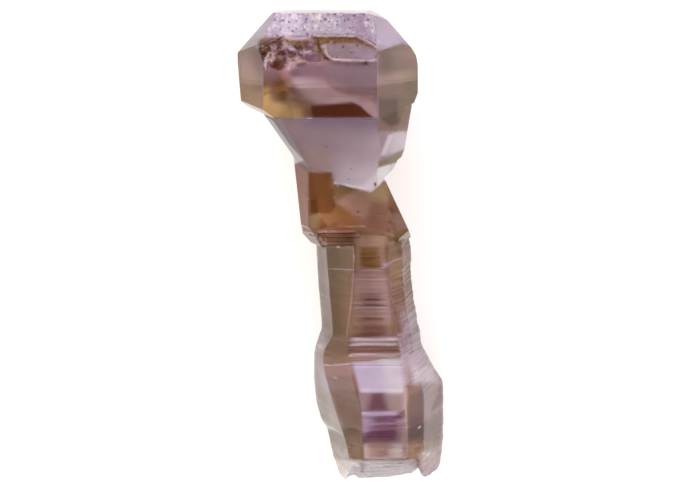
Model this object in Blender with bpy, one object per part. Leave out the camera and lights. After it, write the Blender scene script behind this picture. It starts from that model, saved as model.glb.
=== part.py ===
"""An amethyst scepter: a wide quartz head grown over the tip of a thinner, stepped quartz stem.

The whole crystal is one solid, lying on its back. It is modelled in the crystal's own frame, in
millimetres: X to the right, Y along the c axis from the broken foot to the tip, Z out of the face that
looks up. Every face is a plane given by its azimuth about the c axis (0 looks along +Z, 90 along +X), its
lean, which is the angle by which its normal points towards the tip, and a point that it passes through.
The blocks are cut out of such planes, joined into one solid, and laid on the bed at z = 0.
"""

import math
import random

import bmesh
import bpy
from mathutils import Matrix, Vector

MM = 0.001
SEED = 7

# The finish of the quartz: mauve, glossy and no metal.
QUARTZ_COLOUR = (0.36, 0.2, 0.24, 1.0)
QUARTZ_ROUGHNESS = 0.15
QUARTZ_METALLIC = 0.0
QUARTZ_IOR = 1.544

# Quartz: six prism faces parallel to the c axis, 60 degrees apart, and rhombohedral faces at each end
# of them.
PRISM = 0.0
RHOMB = 38.2
FRONT, RIGHT_FRONT, RIGHT_BACK, BACK, LEFT_BACK, LEFT_FRONT = 0.0, 60.0, 120.0, 180.0, 240.0, 300.0
RIGHT, LEFT = 90.0, 270.0
BLOCK = 200.0  # size of the block that every crystal is cut from
BLOCK_MIDDLE = 30.0  # height of its middle
END = 90.0  # the lean of a cut square across the c axis

# The bed that the crystal lies on, in the crystal's frame: how far behind the axis it passes the foot
# and the head.
FOOT_DEPTH = 4.8
HEAD_DEPTH = 5.9
HEAD_HEEL = 39.0  # height of the head's heel, the edge that touches the bed
BED_SLOPE = (HEAD_DEPTH - FOOT_DEPTH) / HEAD_HEEL

# The head: a short prism with rhombohedral faces at its tip.
HEAD_FRONT = 7.0
HEAD_LEFT = (-10.2, 2.5)  # x and z of the prism's left edge
HEAD_RIGHT = (7.78, -0.1)  # and of its right edge
SHOULDER = 44.8  # where the front prism face ends and the tip starts
WAIST = 38.95  # where the front prism face ends and the underside starts
CROWN = 49.0  # the rough top that cuts the tip off
HEAD_BOTTOM = 39.87  # where the lower faces of the head's left side start

HEAD_FACES = (
    (FRONT, PRISM, (0.0, WAIST, HEAD_FRONT)),
    (LEFT_FRONT, PRISM, (HEAD_LEFT[0], WAIST, HEAD_LEFT[1])),
    (LEFT_BACK, PRISM, (HEAD_LEFT[0], WAIST, HEAD_LEFT[1])),
    (RIGHT_FRONT, PRISM, (HEAD_RIGHT[0], WAIST, HEAD_RIGHT[1])),
    (RIGHT_BACK, PRISM, (HEAD_RIGHT[0], WAIST, HEAD_RIGHT[1])),
    (BACK, PRISM, (0.0, WAIST, -HEAD_DEPTH)),
    (FRONT, RHOMB, (0.0, SHOULDER, HEAD_FRONT)),
    (280.0, RHOMB, (HEAD_LEFT[0], 44.6, HEAD_LEFT[1])),
    (LEFT_BACK, RHOMB, (HEAD_LEFT[0], 44.6, HEAD_LEFT[1])),
    (66.0, 34.0, (3.5, 46.0, HEAD_FRONT)),
    (RIGHT_BACK, RHOMB, (6.95, 44.3, 0.0)),
    (RIGHT, 9.0, (HEAD_RIGHT[0], 42.6, 0.0)),
    (BACK, RHOMB, (0.0, 48.2, 0.5)),
    (BACK, 82.0, (0.0, CROWN, 4.0)),
    (100.0, 62.0, (2.9, CROWN - 0.1, 4.0)),
    (LEFT, -5.0, (HEAD_LEFT[0], 43.6, HEAD_LEFT[1])),
    (LEFT_FRONT, -49.0, (-7.65, HEAD_BOTTOM, HEAD_FRONT)),
    (LEFT_BACK, -45.0, (HEAD_LEFT[0], HEAD_BOTTOM, HEAD_LEFT[1])),
    (RIGHT, -25.0, (HEAD_RIGHT[0], 39.8, 0.0)),
    (BACK, -RHOMB, (0.0, HEAD_HEEL, -HEAD_DEPTH)),
    (FRONT, -END, (0.0, WAIST, 0.0)),
)

# The underside: a funnel that narrows from the head onto the stem, with its own facets on the right.
LEDGE = 0.12  # how far the head's prism stands out over the underside
UNDERSIDE_FACES = (
    (FRONT, PRISM, (0.0, WAIST, HEAD_FRONT - LEDGE)),
    (FRONT, -14.5, (0.0, WAIST, HEAD_FRONT - LEDGE)),
    (LEFT_FRONT, -30.0, (-5.9, WAIST, HEAD_FRONT - LEDGE)),
    (LEFT, -34.5, (-6.85, 37.45, 0.0)),
    (LEFT_BACK, -33.0, (-6.85, 37.45, 0.4)),
    (RIGHT_FRONT, -1.0, (3.6, WAIST, HEAD_FRONT - LEDGE)),
    (RIGHT, -9.0, (7.15, 38.5, 0.0)),
    (RIGHT_BACK, -10.0, (6.93, 36.65, 0.0)),
    (68.0, -9.0, (5.12, 36.7, 4.43)),
    (115.0, -38.0, (6.15, 33.3, 0.6)),
    (BACK, -RHOMB, (0.0, 39.6, -5.2)),
    (FRONT, END, (0.0, WAIST + 1.5, 0.0)),
)

# What is missing at the underside's lower right: it leaves an overhang above, and one side of the
# tongue.
NOTCH_FACES = (
    (BACK, 80.5, (0.0, 34.7, 5.8)),
    (240.0, 15.0, (4.0, 34.4, 5.7)),
)

TONGUE_TOP = WAIST + 5.0
TONGUE_REACH = (-12.0, 12.0)  # z of the ends of the blank that cuts the ragged edge
# The lower edge of the underside, where it hangs over the neck like a tongue: x and y, left to right.
TONGUE_EDGE = (
    (-11.0, 33.6),
    (-3.4, 33.6),
    (-2.0, 33.1),
    (-0.7, 32.9),
    (-0.4, 31.9),
    (0.8, 31.4),
    (1.6, 31.3),
    (3.1, 30.8),
    (3.7, 31.3),
    (4.4, 32.1),
    (5.3, 32.6),
    (5.8, 33.3),
    (11.0, 33.6),
)

# The neck: a shorter crystal between stem and head, cut on its right by one broad sloping face.
NECK_FACES = (
    (FRONT, PRISM, (0.0, 30.0, 4.3)),
    (LEFT_FRONT, -1.0, (-4.0, 28.0, 2.9)),
    (LEFT, -6.3, (-4.0, 28.0, 0.0)),
    (LEFT_BACK, -3.0, (-4.0, 28.0, -1.2)),
    (BACK, PRISM, (0.0, 30.0, -4.2)),
    (18.0, 20.0, (-0.8, 30.0, 4.3)),
    (98.0, 24.0, (5.42, 28.7, 0.0)),
    (RIGHT_BACK, 6.0, (5.42, 28.7, -1.6)),
    (LEFT_FRONT, -RHOMB, (-3.9, 27.0, 2.9)),
    (LEFT_BACK, -RHOMB, (-3.9, 27.0, -1.2)),
    (FRONT, -RHOMB, (0.0, 26.6, 4.3)),
    (RIGHT_FRONT, -RHOMB, (6.5, 25.7, 2.6)),
    (RIGHT_BACK, -RHOMB, (6.5, 25.7, -1.0)),
    (BACK, -RHOMB, (0.0, 25.6, -4.2)),
    (FRONT, END, (0.0, 37.4, 0.0)),
    (FRONT, -END, (0.0, 24.6, 0.0)),
)

# A narrow column on the neck's left, which stands out of the broad face. Its front leans, so that it
# sinks into the neck's own front face below the level of COLUMN_FOOT.
COLUMN_FOOT = 28.4
COLUMN_FACES = (
    (FRONT, -1.0, (0.0, COLUMN_FOOT, 4.3)),
    (LEFT_FRONT, -1.0, (-3.97, 28.0, 2.9)),
    (LEFT, -6.3, (-3.97, 28.0, 0.0)),
    (RIGHT_FRONT, -9.0, (-0.8, 30.0, 4.3)),
    (BACK, PRISM, (0.0, 30.0, 0.0)),
    (FRONT, END, (0.0, 37.4, 0.0)),
    (FRONT, -END, (0.0, 27.5, 0.0)),
)

# Ledges under the neck's left, each smaller than the one above it.
NECK_LEDGES = 4
NECK_LEDGE_TOP = 26.9
NECK_LEDGE_RISE = 0.46
NECK_LEDGE_THICKNESS = 0.75  # of the rise; the rest is the groove below
NECK_LEDGE_LEAN = 80.0  # its top and bottom are nearly square to the c axis
NECK_LEDGE_SIDE = -12.0
NECK_LEDGE_LEFT = -3.8
NECK_LEDGE_RIGHT = 1.5
NECK_LEDGE_INSET = 0.62  # how much further in each ledge starts than the one above it
NECK_LEDGE_REACH = 0.25  # and how much further out it ends
NECK_LEDGE_SETBACK = 0.03  # and how much further back it stands
NECK_LEDGE_FRONT = 4.42  # z of the first ledge's front
NECK_LEDGE_CORNER = 2.8  # z of the ledges' left corners
NECK_LEDGE_EDGE = 4.3  # z of the front edges of their tops and bottoms
NECK_LEDGE_BACK = -2.0

# The stem, from the foot up. Each row is a cross-section: its height, the x of its six front edges
# from the left to the right, and how far its front and its back lie from the axis. The back of the
# foot is the bed.
STEM_ROWS = (
    #  y    left  strip  front-left  front-right  strip  right  front  back
    (-0.5, 0.35, 1.2, 2.4, 6.7, 8.3, 9.9, 4.9, None),
    (1.6, -0.75, 1.1, 2.35, 6.7, 8.3, 10.25, 4.9, None),
    (3.4, -1.1, 0.8, 2.3, 6.7, 8.4, 10.4, 4.95, None),
    (4.4, -1.4, 0.55, 2.27, 6.67, 8.4, 10.4, 4.97, None),
    (4.7, -1.85, 0.5, 2.26, 6.66, 8.4, 10.4, 4.98, None),
    (6.4, -2.35, -0.2, 2.15, 6.6, 8.4, 10.4, 5.0, None),
    (9.0, -2.6, -1.0, 1.9, 6.5, 8.4, 10.35, 5.0, None),
    (10.2, -2.6, -1.3, 1.55, 6.45, 8.2, 9.8, 5.0, None),
    (11.4, -2.6, -1.6, 1.2, 6.4, 8.0, 9.25, 4.9, None),
    (12.4, -2.6, -1.7, 1.0, 6.3, 7.7, 8.85, 4.8, None),
    (13.6, -2.4, -1.6, 0.75, 6.15, 7.4, 8.25, 4.6, 4.9),
    (15.4, -1.8, -0.7, 0.75, 5.9, 7.15, 7.95, 4.5, 4.6),
    (17.0, -1.95, -0.8, 0.85, 5.5, 6.8, 7.65, 4.4, 4.4),
    (20.0, -2.2, -1.1, 1.3, 5.1, 6.4, 7.2, 4.3, 4.4),
    (24.0, -2.4, -1.4, 1.45, 4.9, 6.2, 7.05, 4.3, 4.4),
    (25.6, -2.4, -1.4, 1.45, 4.8, 6.1, 6.8, 4.3, 4.4),
    (27.4, -1.1, -0.4, 1.9, 4.1, 5.1, 5.5, 3.2, 3.0),
)
# The stem's faces are curved a little: its front has a panel on each side of it, and a strip beyond
# each panel.
PANEL, STRIP = 54.0, 71.0
STEM_AZIMUTHS = (FRONT, PANEL, STRIP, RIGHT_BACK, BACK, LEFT_BACK, -STRIP, -PANEL)
BACK_INDEX = STEM_AZIMUTHS.index(BACK)
# How far a growth terrace stands in or out of the general shape, for each of those faces.
STEP = (0.045, 0.05, 0.04, 0.035, 0.035, 0.03, 0.012, 0.02)
STEP_SHARED = 0.6  # how much of a step all faces share
STEP_OWN = 0.4  # and how much is each face's own
BED_TOP = 12.4  # the back of the stem lies on the bed below this height, and has no terraces there
TERRACE = (0.25, 0.95)  # the thinnest and the thickest terrace
TREAD = 0.05  # height over which one terrace steps to the next

# The break under the foot: level behind, and rising in steps towards the front.
BREAK_BACK = 0.55
BREAK_FRONT = 3.1
BREAK_STEPS = 6
BREAK_STEP_DEPTH = 0.5
BREAK_STEP_SLOPE = 0.06  # how far forward a step leans over its own height
BREAK_EDGE = 5.0  # z of the last step
BREAK_ROUGHNESS = 0.12
BELOW_FOOT = -4.0  # a height that is below all of the foot
BREAK_OVERSHOOT = 3.0  # how far the break's profile reaches beyond the last step
BREAK_LEVEL = 3.2  # length of the level stretch behind the steps
BREAK_WAVE_POINTS = 7  # of the wavy stretch behind that
BREAK_WAVE_SPACING = 1.3
BREAK_WAVE_HEIGHT = 0.25
BREAK_WAVE_TURN = 1.1  # radians of the wave from point to point
# How much higher the break is at each x: a tail hangs at the left, and a notch parts the middle from
# the right.
BREAK_LIFTS = (
    (-4.0, 0.0),
    (-0.2, -0.3),
    (0.5, -0.65),
    (0.9, -0.1),
    (1.4, 0.1),
    (1.9, -0.15),
    (3.2, 0.0),
    (4.6, 0.05),
    (6.0, 0.1),
    (7.2, 0.25),
    (7.8, 0.9),
    (8.3, 0.1),
    (9.0, -0.3),
    (9.8, -0.2),
    (10.4, 0.1),
    (12.5, 0.2),
)

# The rough front face of the tip is drawn in its own frame: u to the right, v up the face from the
# shoulder, w out of it. Two layers of growth lie on it, each with a ragged lower edge.
PLATE = 0.22
PLATE_OUTLINE = (
    (-2.1, 3.0),
    (-2.1, 1.5),
    (-1.7, 0.75),
    (-1.1, 0.3),
    (-0.5, 0.08),
    (1.0, 0.12),
    (2.2, 0.02),
    (4.2, 0.1),
    (4.6, 3.0),
)
SHELF = 0.42
SHELF_OUTLINE = (
    (-9.5, 8.0),
    (-9.0, 1.2),
    (-7.6, 1.45),
    (-7.0, 1.85),
    (-5.6, 2.6),
    (-4.8, 2.35),
    (-3.8, 2.42),
    (-2.95, 2.45),
    (-2.7, 2.85),
    (-0.5, 2.85),
    (1.5, 2.9),
    (2.6, 2.35),
    (4.2, 1.3),
    (6.0, 8.0),
)
RAGGED = 0.05  # how far a ragged edge wanders
RAGGED_STEP = 0.45
LAYER_INSET = 0.01  # how far the layers' other faces lie inside the head's
LAYER_REACH = (-1.0, 2.0)  # w of the ends of the outline that cuts a layer out

# Pits in the face: u, v, radius and depth.
PITS = (
    (-6.1, -0.15, 0.5, 0.7),
    (-5.6, 1.0, 0.32, 0.5),
    (-7.5, 0.7, 0.3, 0.45),
    (-4.6, 0.2, 0.25, 0.3),
    (2.6, -0.2, 0.28, 0.35),
)
# Low lumps and small pits scattered over the face: the areas that they cover, u and v from and to.
LUMPY_AREAS = ((-7.3, -0.4, -2.6, 1.6), (-6.3, 3.0, 2.4, 4.9))
LUMP_SPACING = 0.8
LUMP_WANDER = 0.08  # how far one is from the middle of its square, in spacings
LUMP_SHARE = 0.6  # how many of them are lumps; the rest are pits
LUMP_RADIUS = (0.22, 0.32)
LUMP_RISE = (0.1, 0.22)
LUMP_SIDES = (3, 4, 5)
LUMP_REACH = (0.75, 1.0)  # how far its corners are from its middle, in radii
PIT_DROP = (0.12, 0.25)
ROOT = 0.08  # how far a lump's base lies below the face, and a pit's mouth above it
SHELF_START = 2.9  # the v above which the shelf covers the face


def face_normal(azimuth, lean):
    """The outward normal of a crystal face."""
    azimuth, lean = math.radians(azimuth), math.radians(lean)
    return Vector(
        (math.sin(azimuth) * math.cos(lean), math.sin(lean), math.cos(azimuth) * math.cos(lean))
    )


def quartz():
    """The crystal's material."""
    made = bpy.data.materials.new("amethyst_quartz")
    made.use_nodes = True
    skin = made.node_tree.nodes["Principled BSDF"]
    skin.inputs["Base Color"].default_value = QUARTZ_COLOUR
    skin.inputs["Roughness"].default_value = QUARTZ_ROUGHNESS
    skin.inputs["Metallic"].default_value = QUARTZ_METALLIC
    skin.inputs["IOR"].default_value = QUARTZ_IOR
    return made


def new_object(name, body):
    """An object that holds the bmesh, with its normals pointing out."""
    bmesh.ops.recalc_face_normals(body, faces=body.faces)
    mesh = bpy.data.meshes.new(name)
    body.to_mesh(mesh)
    body.free()
    made = bpy.data.objects.new(name, mesh)
    bpy.context.scene.collection.objects.link(made)
    return made


def cut(body, normal, point):
    """Takes off all of a convex body that lies beyond the plane, and closes it."""
    made = bmesh.ops.bisect_plane(
        body,
        geom=body.verts[:] + body.edges[:] + body.faces[:],
        dist=1e-7,
        plane_co=point,
        plane_no=normal,
        clear_outer=True,
    )
    rim = [e for e in made["geom_cut"] if isinstance(e, bmesh.types.BMEdge)]
    if rim:
        bmesh.ops.contextual_create(body, geom=rim)


def crystal(name, faces):
    """A convex crystal: a block cut by each of its faces in turn."""
    body = bmesh.new()
    middle = Matrix.Translation((0.0, BLOCK_MIDDLE * MM, 0.0))
    bmesh.ops.create_cube(body, size=BLOCK * MM, matrix=middle)
    for azimuth, lean, point in faces:
        cut(body, face_normal(azimuth, lean), Vector(point) * MM)
    return new_object(name, body)


def join(body, other, operation):
    """Joins or cuts the body with the other object, which is left as a hidden guide."""
    made = body.modifiers.new(other.name, "BOOLEAN")
    made.operation = operation
    made.object = other
    other.hide_render = True
    other.display_type = "WIRE"
    other.parent = body


def prism_of(name, outline, place, low, high):
    """An outline of (u, v) points extruded from low to high along w, which place maps into the frame."""
    body = bmesh.new()
    floor = [body.verts.new(place @ Vector((u, v, low))) for u, v in outline]
    roof = [body.verts.new(place @ Vector((u, v, high))) for u, v in outline]
    body.faces.new(floor)
    body.faces.new(roof)
    for i in range(len(outline)):
        j = (i + 1) % len(outline)
        body.faces.new((floor[i], floor[j], roof[j], roof[i]))
    return new_object(name, body)


def tip_frame():
    """The matrix from the tip's front face (u, v, w) to the crystal's frame."""
    shoulder = Matrix.Translation(Vector((0.0, SHOULDER, HEAD_FRONT)) * MM)
    return shoulder @ Matrix.Rotation(-math.radians(RHOMB), 4, "X") @ Matrix.Scale(MM, 4)


def ragged(outline, rng):
    """The outline with more points along its edges, each moved a little."""
    found = []
    for (u0, v0), (u1, v1) in zip(outline, outline[1:] + outline[:1]):
        pieces = max(1, round(math.hypot(u1 - u0, v1 - v0) / RAGGED_STEP))
        for i in range(pieces):
            share = i / pieces
            found.append(
                (
                    u0 + share * (u1 - u0) + rng.uniform(-RAGGED, RAGGED),
                    v0 + share * (v1 - v0) + rng.uniform(-RAGGED, RAGGED),
                )
            )
    return found


def layer(name, outline, height, rng):
    """A layer of growth on the tip's front face: the head with that face raised, inside the outline."""
    faces = []
    for azimuth, lean, point in HEAD_FACES:
        shift = height if (azimuth, lean) == (FRONT, RHOMB) else -LAYER_INSET
        faces.append((azimuth, lean, Vector(point) + shift * face_normal(azimuth, lean)))
    raised = crystal(name, faces)
    blank = prism_of(name + "_outline", ragged(outline, rng), tip_frame(), *LAYER_REACH)
    join(raised, blank, "INTERSECT")
    return raised


def scatter(rng):
    """Places over the lumpy areas, one in each square of a grid: (u, v)."""
    places = []
    for u0, v0, u1, v1 in LUMPY_AREAS:
        for i in range(int((u1 - u0) / LUMP_SPACING)):
            for j in range(int((v1 - v0) / LUMP_SPACING)):
                u = u0 + (i + 0.5 + rng.uniform(-LUMP_WANDER, LUMP_WANDER)) * LUMP_SPACING
                v = v0 + (j + 0.5 + rng.uniform(-LUMP_WANDER, LUMP_WANDER)) * LUMP_SPACING
                places.append((u, v))
    return places


def cones(name, places, rng):
    """Pointed lumps or pits on the tip's front face: (u, v, radius, w of the base, w of the point)."""
    body = bmesh.new()
    place = tip_frame()
    for u, v, radius, base, point in places:
        sides = rng.choice(LUMP_SIDES)
        turn = rng.uniform(0.0, math.tau)
        rim = []
        for i in range(sides):
            angle = turn + math.tau * i / sides
            reach = radius * rng.uniform(*LUMP_REACH)
            corner_u, corner_v = u + reach * math.cos(angle), v + reach * math.sin(angle)
            rim.append(body.verts.new(place @ Vector((corner_u, corner_v, base))))
        apex = body.verts.new(place @ Vector((u, v, point)))
        body.faces.new(rim)
        for i in range(sides):
            body.faces.new((rim[i], rim[(i + 1) % sides], apex))
    return new_object(name, body)


def roughen(head, rng):
    """Covers the tip's front face with its layers, lumps and pits."""
    join(head, layer("plate", PLATE_OUTLINE, PLATE, rng), "UNION")
    join(head, layer("shelf", SHELF_OUTLINE, SHELF, rng), "UNION")
    lumps, small_pits = [], []
    for u, v in scatter(rng):
        face = SHELF if v > SHELF_START else 0.0
        is_lump = rng.random() < LUMP_SHARE
        radius = rng.uniform(*LUMP_RADIUS)
        if is_lump:
            lumps.append((u, v, radius, face - ROOT, face + rng.uniform(*LUMP_RISE)))
        else:
            small_pits.append((u, v, radius, face + ROOT, face - rng.uniform(*PIT_DROP)))
    join(head, cones("lumps", lumps, rng), "UNION")
    join(head, cones("small_pits", small_pits, rng), "DIFFERENCE")
    # A pit's cone starts as far above the face as it reaches below it, so it is half as wide at the face.
    deep = [(u, v, 2.0 * radius, depth, -depth) for u, v, radius, depth in PITS]
    join(head, cones("pits", deep, rng), "DIFFERENCE")


def across(azimuth):
    """The direction of a prism face's normal in the plane of a cross-section, as x and z."""
    angle = math.radians(azimuth)
    return math.sin(angle), math.cos(angle)


def z_on(azimuth, offset, x):
    """The z of the point at x on the face line at that offset from the axis."""
    nx, nz = across(azimuth)
    return (offset - nx * x) / nz


def offset_through(azimuth, x, z):
    """The offset from the axis of the face line that passes through x and z."""
    nx, nz = across(azimuth)
    return nx * x + nz * z


def bed_depth(y):
    """How far behind the axis the bed lies at height y."""
    return FOOT_DEPTH + BED_SLOPE * y


def row_offsets(row):
    """The distances of the eight faces from the axis that give this row's edges."""
    y, left, left_strip, front_left, front_right, right_strip, right, front, back = row
    left_panel = offset_through(-PANEL, front_left, front)
    right_panel = offset_through(PANEL, front_right, front)
    left_side = offset_through(-STRIP, left_strip, z_on(-PANEL, left_panel, left_strip))
    right_side = offset_through(STRIP, right_strip, z_on(PANEL, right_panel, right_strip))
    return (
        front,
        right_panel,
        right_side,
        offset_through(RIGHT_BACK, right, z_on(STRIP, right_side, right)),
        bed_depth(y) if back is None else back,
        offset_through(LEFT_BACK, left, z_on(-STRIP, left_side, left)),
        left_side,
        left_panel,
    )


def offsets_at(y):
    """The eight offsets at any height, between the rows."""
    for low, high in zip(STEM_ROWS, STEM_ROWS[1:]):
        if low[0] <= y <= high[0]:
            share = (y - low[0]) / (high[0] - low[0])
            return [a + share * (b - a) for a, b in zip(row_offsets(low), row_offsets(high))]
    return list(row_offsets(STEM_ROWS[0] if y < STEM_ROWS[0][0] else STEM_ROWS[-1]))


def corner(azimuth_a, offset_a, azimuth_b, offset_b):
    """Where two face lines of a cross-section meet, as x and z."""
    (ax, az), (bx, bz) = across(azimuth_a), across(azimuth_b)
    det = ax * bz - az * bx
    return (offset_a * bz - offset_b * az) / det, (ax * offset_b - bx * offset_a) / det


def ring(body, y, offsets):
    """One cross-section of the stem as a loop of vertices."""
    made = []
    for i in range(len(STEM_AZIMUTHS)):
        j = (i + 1) % len(STEM_AZIMUTHS)
        x, z = corner(STEM_AZIMUTHS[i], offsets[i], STEM_AZIMUTHS[j], offsets[j])
        made.append(body.verts.new(Vector((x, y, z)) * MM))
    return made


def terraces(rng):
    """The stem's growth terraces: where each starts and ends."""
    y, top = STEM_ROWS[0][0], STEM_ROWS[-1][0]
    found = []
    while y < top:
        thick = rng.uniform(*TERRACE)
        found.append((y, min(y + thick, top)))
        y += thick
    return found


def stem(name):
    """The stem: a tapering prism whose faces are stepped by terraces of growth."""
    rng = random.Random(SEED)
    body = bmesh.new()
    rings = []
    for low, high in terraces(rng):
        shared = rng.uniform(-STEP_SHARED, STEP_SHARED)
        steps = [step * (shared + rng.uniform(-STEP_OWN, STEP_OWN)) for step in STEP]
        if low < BED_TOP:
            steps[BACK_INDEX] = 0.0
        for y in (low + TREAD / 2, high - TREAD / 2):
            rings.append(ring(body, y, [a + b for a, b in zip(offsets_at(y), steps)]))
    for below, above in zip(rings, rings[1:]):
        for i in range(len(below)):
            j = (i + 1) % len(below)
            body.faces.new((below[i], below[j], above[j], above[i]))
    body.faces.new(rings[0])
    body.faces.new(rings[-1])
    return new_object(name, body)


def break_profile():
    """The height of the break from behind the foot to in front of it, as (z, y)."""
    rise = (BREAK_FRONT - BREAK_BACK) / BREAK_STEPS
    steps_start = BREAK_EDGE - BREAK_STEPS * BREAK_STEP_DEPTH
    profile = []
    for i in range(BREAK_WAVE_POINTS):
        z = steps_start - BREAK_LEVEL - (BREAK_WAVE_POINTS - 1 - i) * BREAK_WAVE_SPACING
        profile.append((z, BREAK_BACK + BREAK_WAVE_HEIGHT * math.sin(BREAK_WAVE_TURN * i)))
    for i in range(BREAK_STEPS):
        z = steps_start + i * BREAK_STEP_DEPTH
        profile.append((z, BREAK_BACK + i * rise))
        profile.append((z + BREAK_STEP_SLOPE, BREAK_BACK + (i + 1) * rise))
    profile.append((BREAK_EDGE + BREAK_OVERSHOOT, BREAK_FRONT))
    return profile


def broken_ground(rng):
    """What the break takes away below the foot: a block whose top is the stepped fracture."""
    profile = break_profile()
    columns = [x for x, _ in BREAK_LIFTS]
    body = bmesh.new()
    top, bottom = [], []
    for x, lift in BREAK_LIFTS:
        line = []
        for z, y in profile:
            rough = lift + rng.uniform(-BREAK_ROUGHNESS, BREAK_ROUGHNESS)
            line.append(body.verts.new(Vector((x, y + rough, z)) * MM))
        top.append(line)
        bottom.append([body.verts.new(Vector((x, BELOW_FOOT, z)) * MM) for z, y in profile])
    last = len(profile) - 1
    for i in range(len(columns) - 1):
        for k in range(last):
            body.faces.new((top[i][k], top[i + 1][k], top[i + 1][k + 1], top[i][k + 1]))
            body.faces.new((bottom[i][k], bottom[i][k + 1], bottom[i + 1][k + 1], bottom[i + 1][k]))
        for k in (0, last):
            body.faces.new((top[i][k], bottom[i][k], bottom[i + 1][k], top[i + 1][k]))
    for i in (0, len(columns) - 1):
        for k in range(last):
            body.faces.new((top[i][k], top[i][k + 1], bottom[i][k + 1], bottom[i][k]))
    return new_object("broken_ground", body)


def neck_ledges():
    """The ledges under the neck's left, from the top down."""
    made = []
    for i in range(NECK_LEDGES):
        top = NECK_LEDGE_TOP - i * NECK_LEDGE_RISE
        bottom = top - NECK_LEDGE_THICKNESS * NECK_LEDGE_RISE
        inset = NECK_LEDGE_INSET * i - NECK_LEDGE_SETBACK * i * i
        left = NECK_LEDGE_LEFT + inset
        right = NECK_LEDGE_RIGHT + NECK_LEDGE_REACH * i
        faces = (
            (FRONT, PRISM, (0.0, top, NECK_LEDGE_FRONT - NECK_LEDGE_SETBACK * i)),
            (LEFT_FRONT, NECK_LEDGE_SIDE, (left, top, NECK_LEDGE_CORNER)),
            (LEFT_BACK, NECK_LEDGE_SIDE, (left, top, NECK_LEDGE_CORNER)),
            (RIGHT_FRONT, PRISM, (right, top, NECK_LEDGE_EDGE)),
            (BACK, PRISM, (0.0, top, NECK_LEDGE_BACK + inset)),
            (FRONT, NECK_LEDGE_LEAN, (0.0, top, NECK_LEDGE_EDGE)),
            (FRONT, -NECK_LEDGE_LEAN, (0.0, bottom, NECK_LEDGE_EDGE)),
        )
        made.append(crystal(f"neck_ledge_{i + 1}", faces))
    return made


def underside():
    """The funnel under the head, with its ragged lower edge."""
    funnel = crystal("underside", UNDERSIDE_FACES)
    outline = TONGUE_EDGE + ((TONGUE_EDGE[-1][0], TONGUE_TOP), (TONGUE_EDGE[0][0], TONGUE_TOP))
    blank = prism_of("tongue", outline, Matrix.Scale(MM, 4), *TONGUE_REACH)
    join(funnel, blank, "INTERSECT")
    join(funnel, crystal("notch", NOTCH_FACES), "DIFFERENCE")
    return funnel


def lay_down(body):
    """Turns the crystal onto its bed, with its box's middle at x = 0 and y = 0, and its floor at z = 0."""
    turn = Matrix.Rotation(math.atan(BED_SLOPE), 4, "X")
    graph = bpy.context.evaluated_depsgraph_get()
    mesh = body.evaluated_get(graph).to_mesh()
    points = [turn @ vertex.co for vertex in mesh.vertices]
    low = [min(point[i] for point in points) for i in range(3)]
    high = [max(point[i] for point in points) for i in range(3)]
    body.rotation_euler = turn.to_euler()
    body.location = (-(low[0] + high[0]) / 2, -(low[1] + high[1]) / 2, -low[2])


def main():
    for old in list(bpy.data.objects):
        bpy.data.objects.remove(old)
    rng = random.Random(SEED)
    scepter = crystal("amethyst_scepter", HEAD_FACES)
    foot = stem("stem")
    join(foot, broken_ground(rng), "DIFFERENCE")
    blocks = [underside(), crystal("neck", NECK_FACES), crystal("column", COLUMN_FACES), foot]
    for block in blocks + neck_ledges():
        join(scepter, block, "UNION")
    roughen(scepter, rng)
    scepter.data.materials.append(quartz())
    lay_down(scepter)


main()
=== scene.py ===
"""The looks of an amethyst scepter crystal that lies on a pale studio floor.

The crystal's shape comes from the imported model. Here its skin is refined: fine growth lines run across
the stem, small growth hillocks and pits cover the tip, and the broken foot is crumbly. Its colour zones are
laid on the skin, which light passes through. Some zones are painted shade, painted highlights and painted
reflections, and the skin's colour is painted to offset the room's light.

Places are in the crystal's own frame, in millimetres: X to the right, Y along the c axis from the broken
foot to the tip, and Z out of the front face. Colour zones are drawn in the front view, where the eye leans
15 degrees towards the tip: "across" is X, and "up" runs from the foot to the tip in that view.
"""

import math
import random

import bmesh
import bpy
import numpy as np
from mathutils import Matrix, Vector


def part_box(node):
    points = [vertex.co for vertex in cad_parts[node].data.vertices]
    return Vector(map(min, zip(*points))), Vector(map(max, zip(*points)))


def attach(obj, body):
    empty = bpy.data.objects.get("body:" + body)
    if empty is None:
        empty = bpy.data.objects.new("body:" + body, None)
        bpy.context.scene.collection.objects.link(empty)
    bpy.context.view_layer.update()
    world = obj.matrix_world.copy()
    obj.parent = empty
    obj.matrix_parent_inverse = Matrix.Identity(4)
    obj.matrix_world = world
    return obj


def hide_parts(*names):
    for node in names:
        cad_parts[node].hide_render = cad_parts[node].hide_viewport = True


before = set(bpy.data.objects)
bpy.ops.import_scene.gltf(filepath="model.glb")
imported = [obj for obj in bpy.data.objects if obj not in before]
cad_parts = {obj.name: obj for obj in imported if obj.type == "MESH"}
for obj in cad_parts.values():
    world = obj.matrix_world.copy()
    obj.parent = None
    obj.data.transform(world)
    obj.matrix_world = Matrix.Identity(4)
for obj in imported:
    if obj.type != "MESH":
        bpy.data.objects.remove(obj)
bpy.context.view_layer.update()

# ---- the crystal's frame
MM = 0.001
SEED = 7
NODE = "amethyst_scepter"
# It lies on the heel of its head and on its foot: how far each is behind the axis, and how far apart.
HEEL_BEHIND = 5.9
FOOT_BEHIND = 4.8
HEEL_FROM_FOOT = 39.0
BED_TILT = math.atan((HEEL_BEHIND - FOOT_BEHIND) / HEEL_FROM_FOOT)
AXIS_FROM_CORNER = Vector((10.2, 0.047, 4.798))  # from the box's lowest corner to the axis at the foot
EYE_LEAN = math.radians(15.0)

lowest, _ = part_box(NODE)
TO_WORLD = (
    Matrix.Translation(lowest + AXIS_FROM_CORNER * MM)
    @ Matrix.Rotation(BED_TILT, 4, "X")
    @ Matrix.Scale(MM, 4)
)
TO_CRYSTAL = TO_WORLD.inverted()

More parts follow.
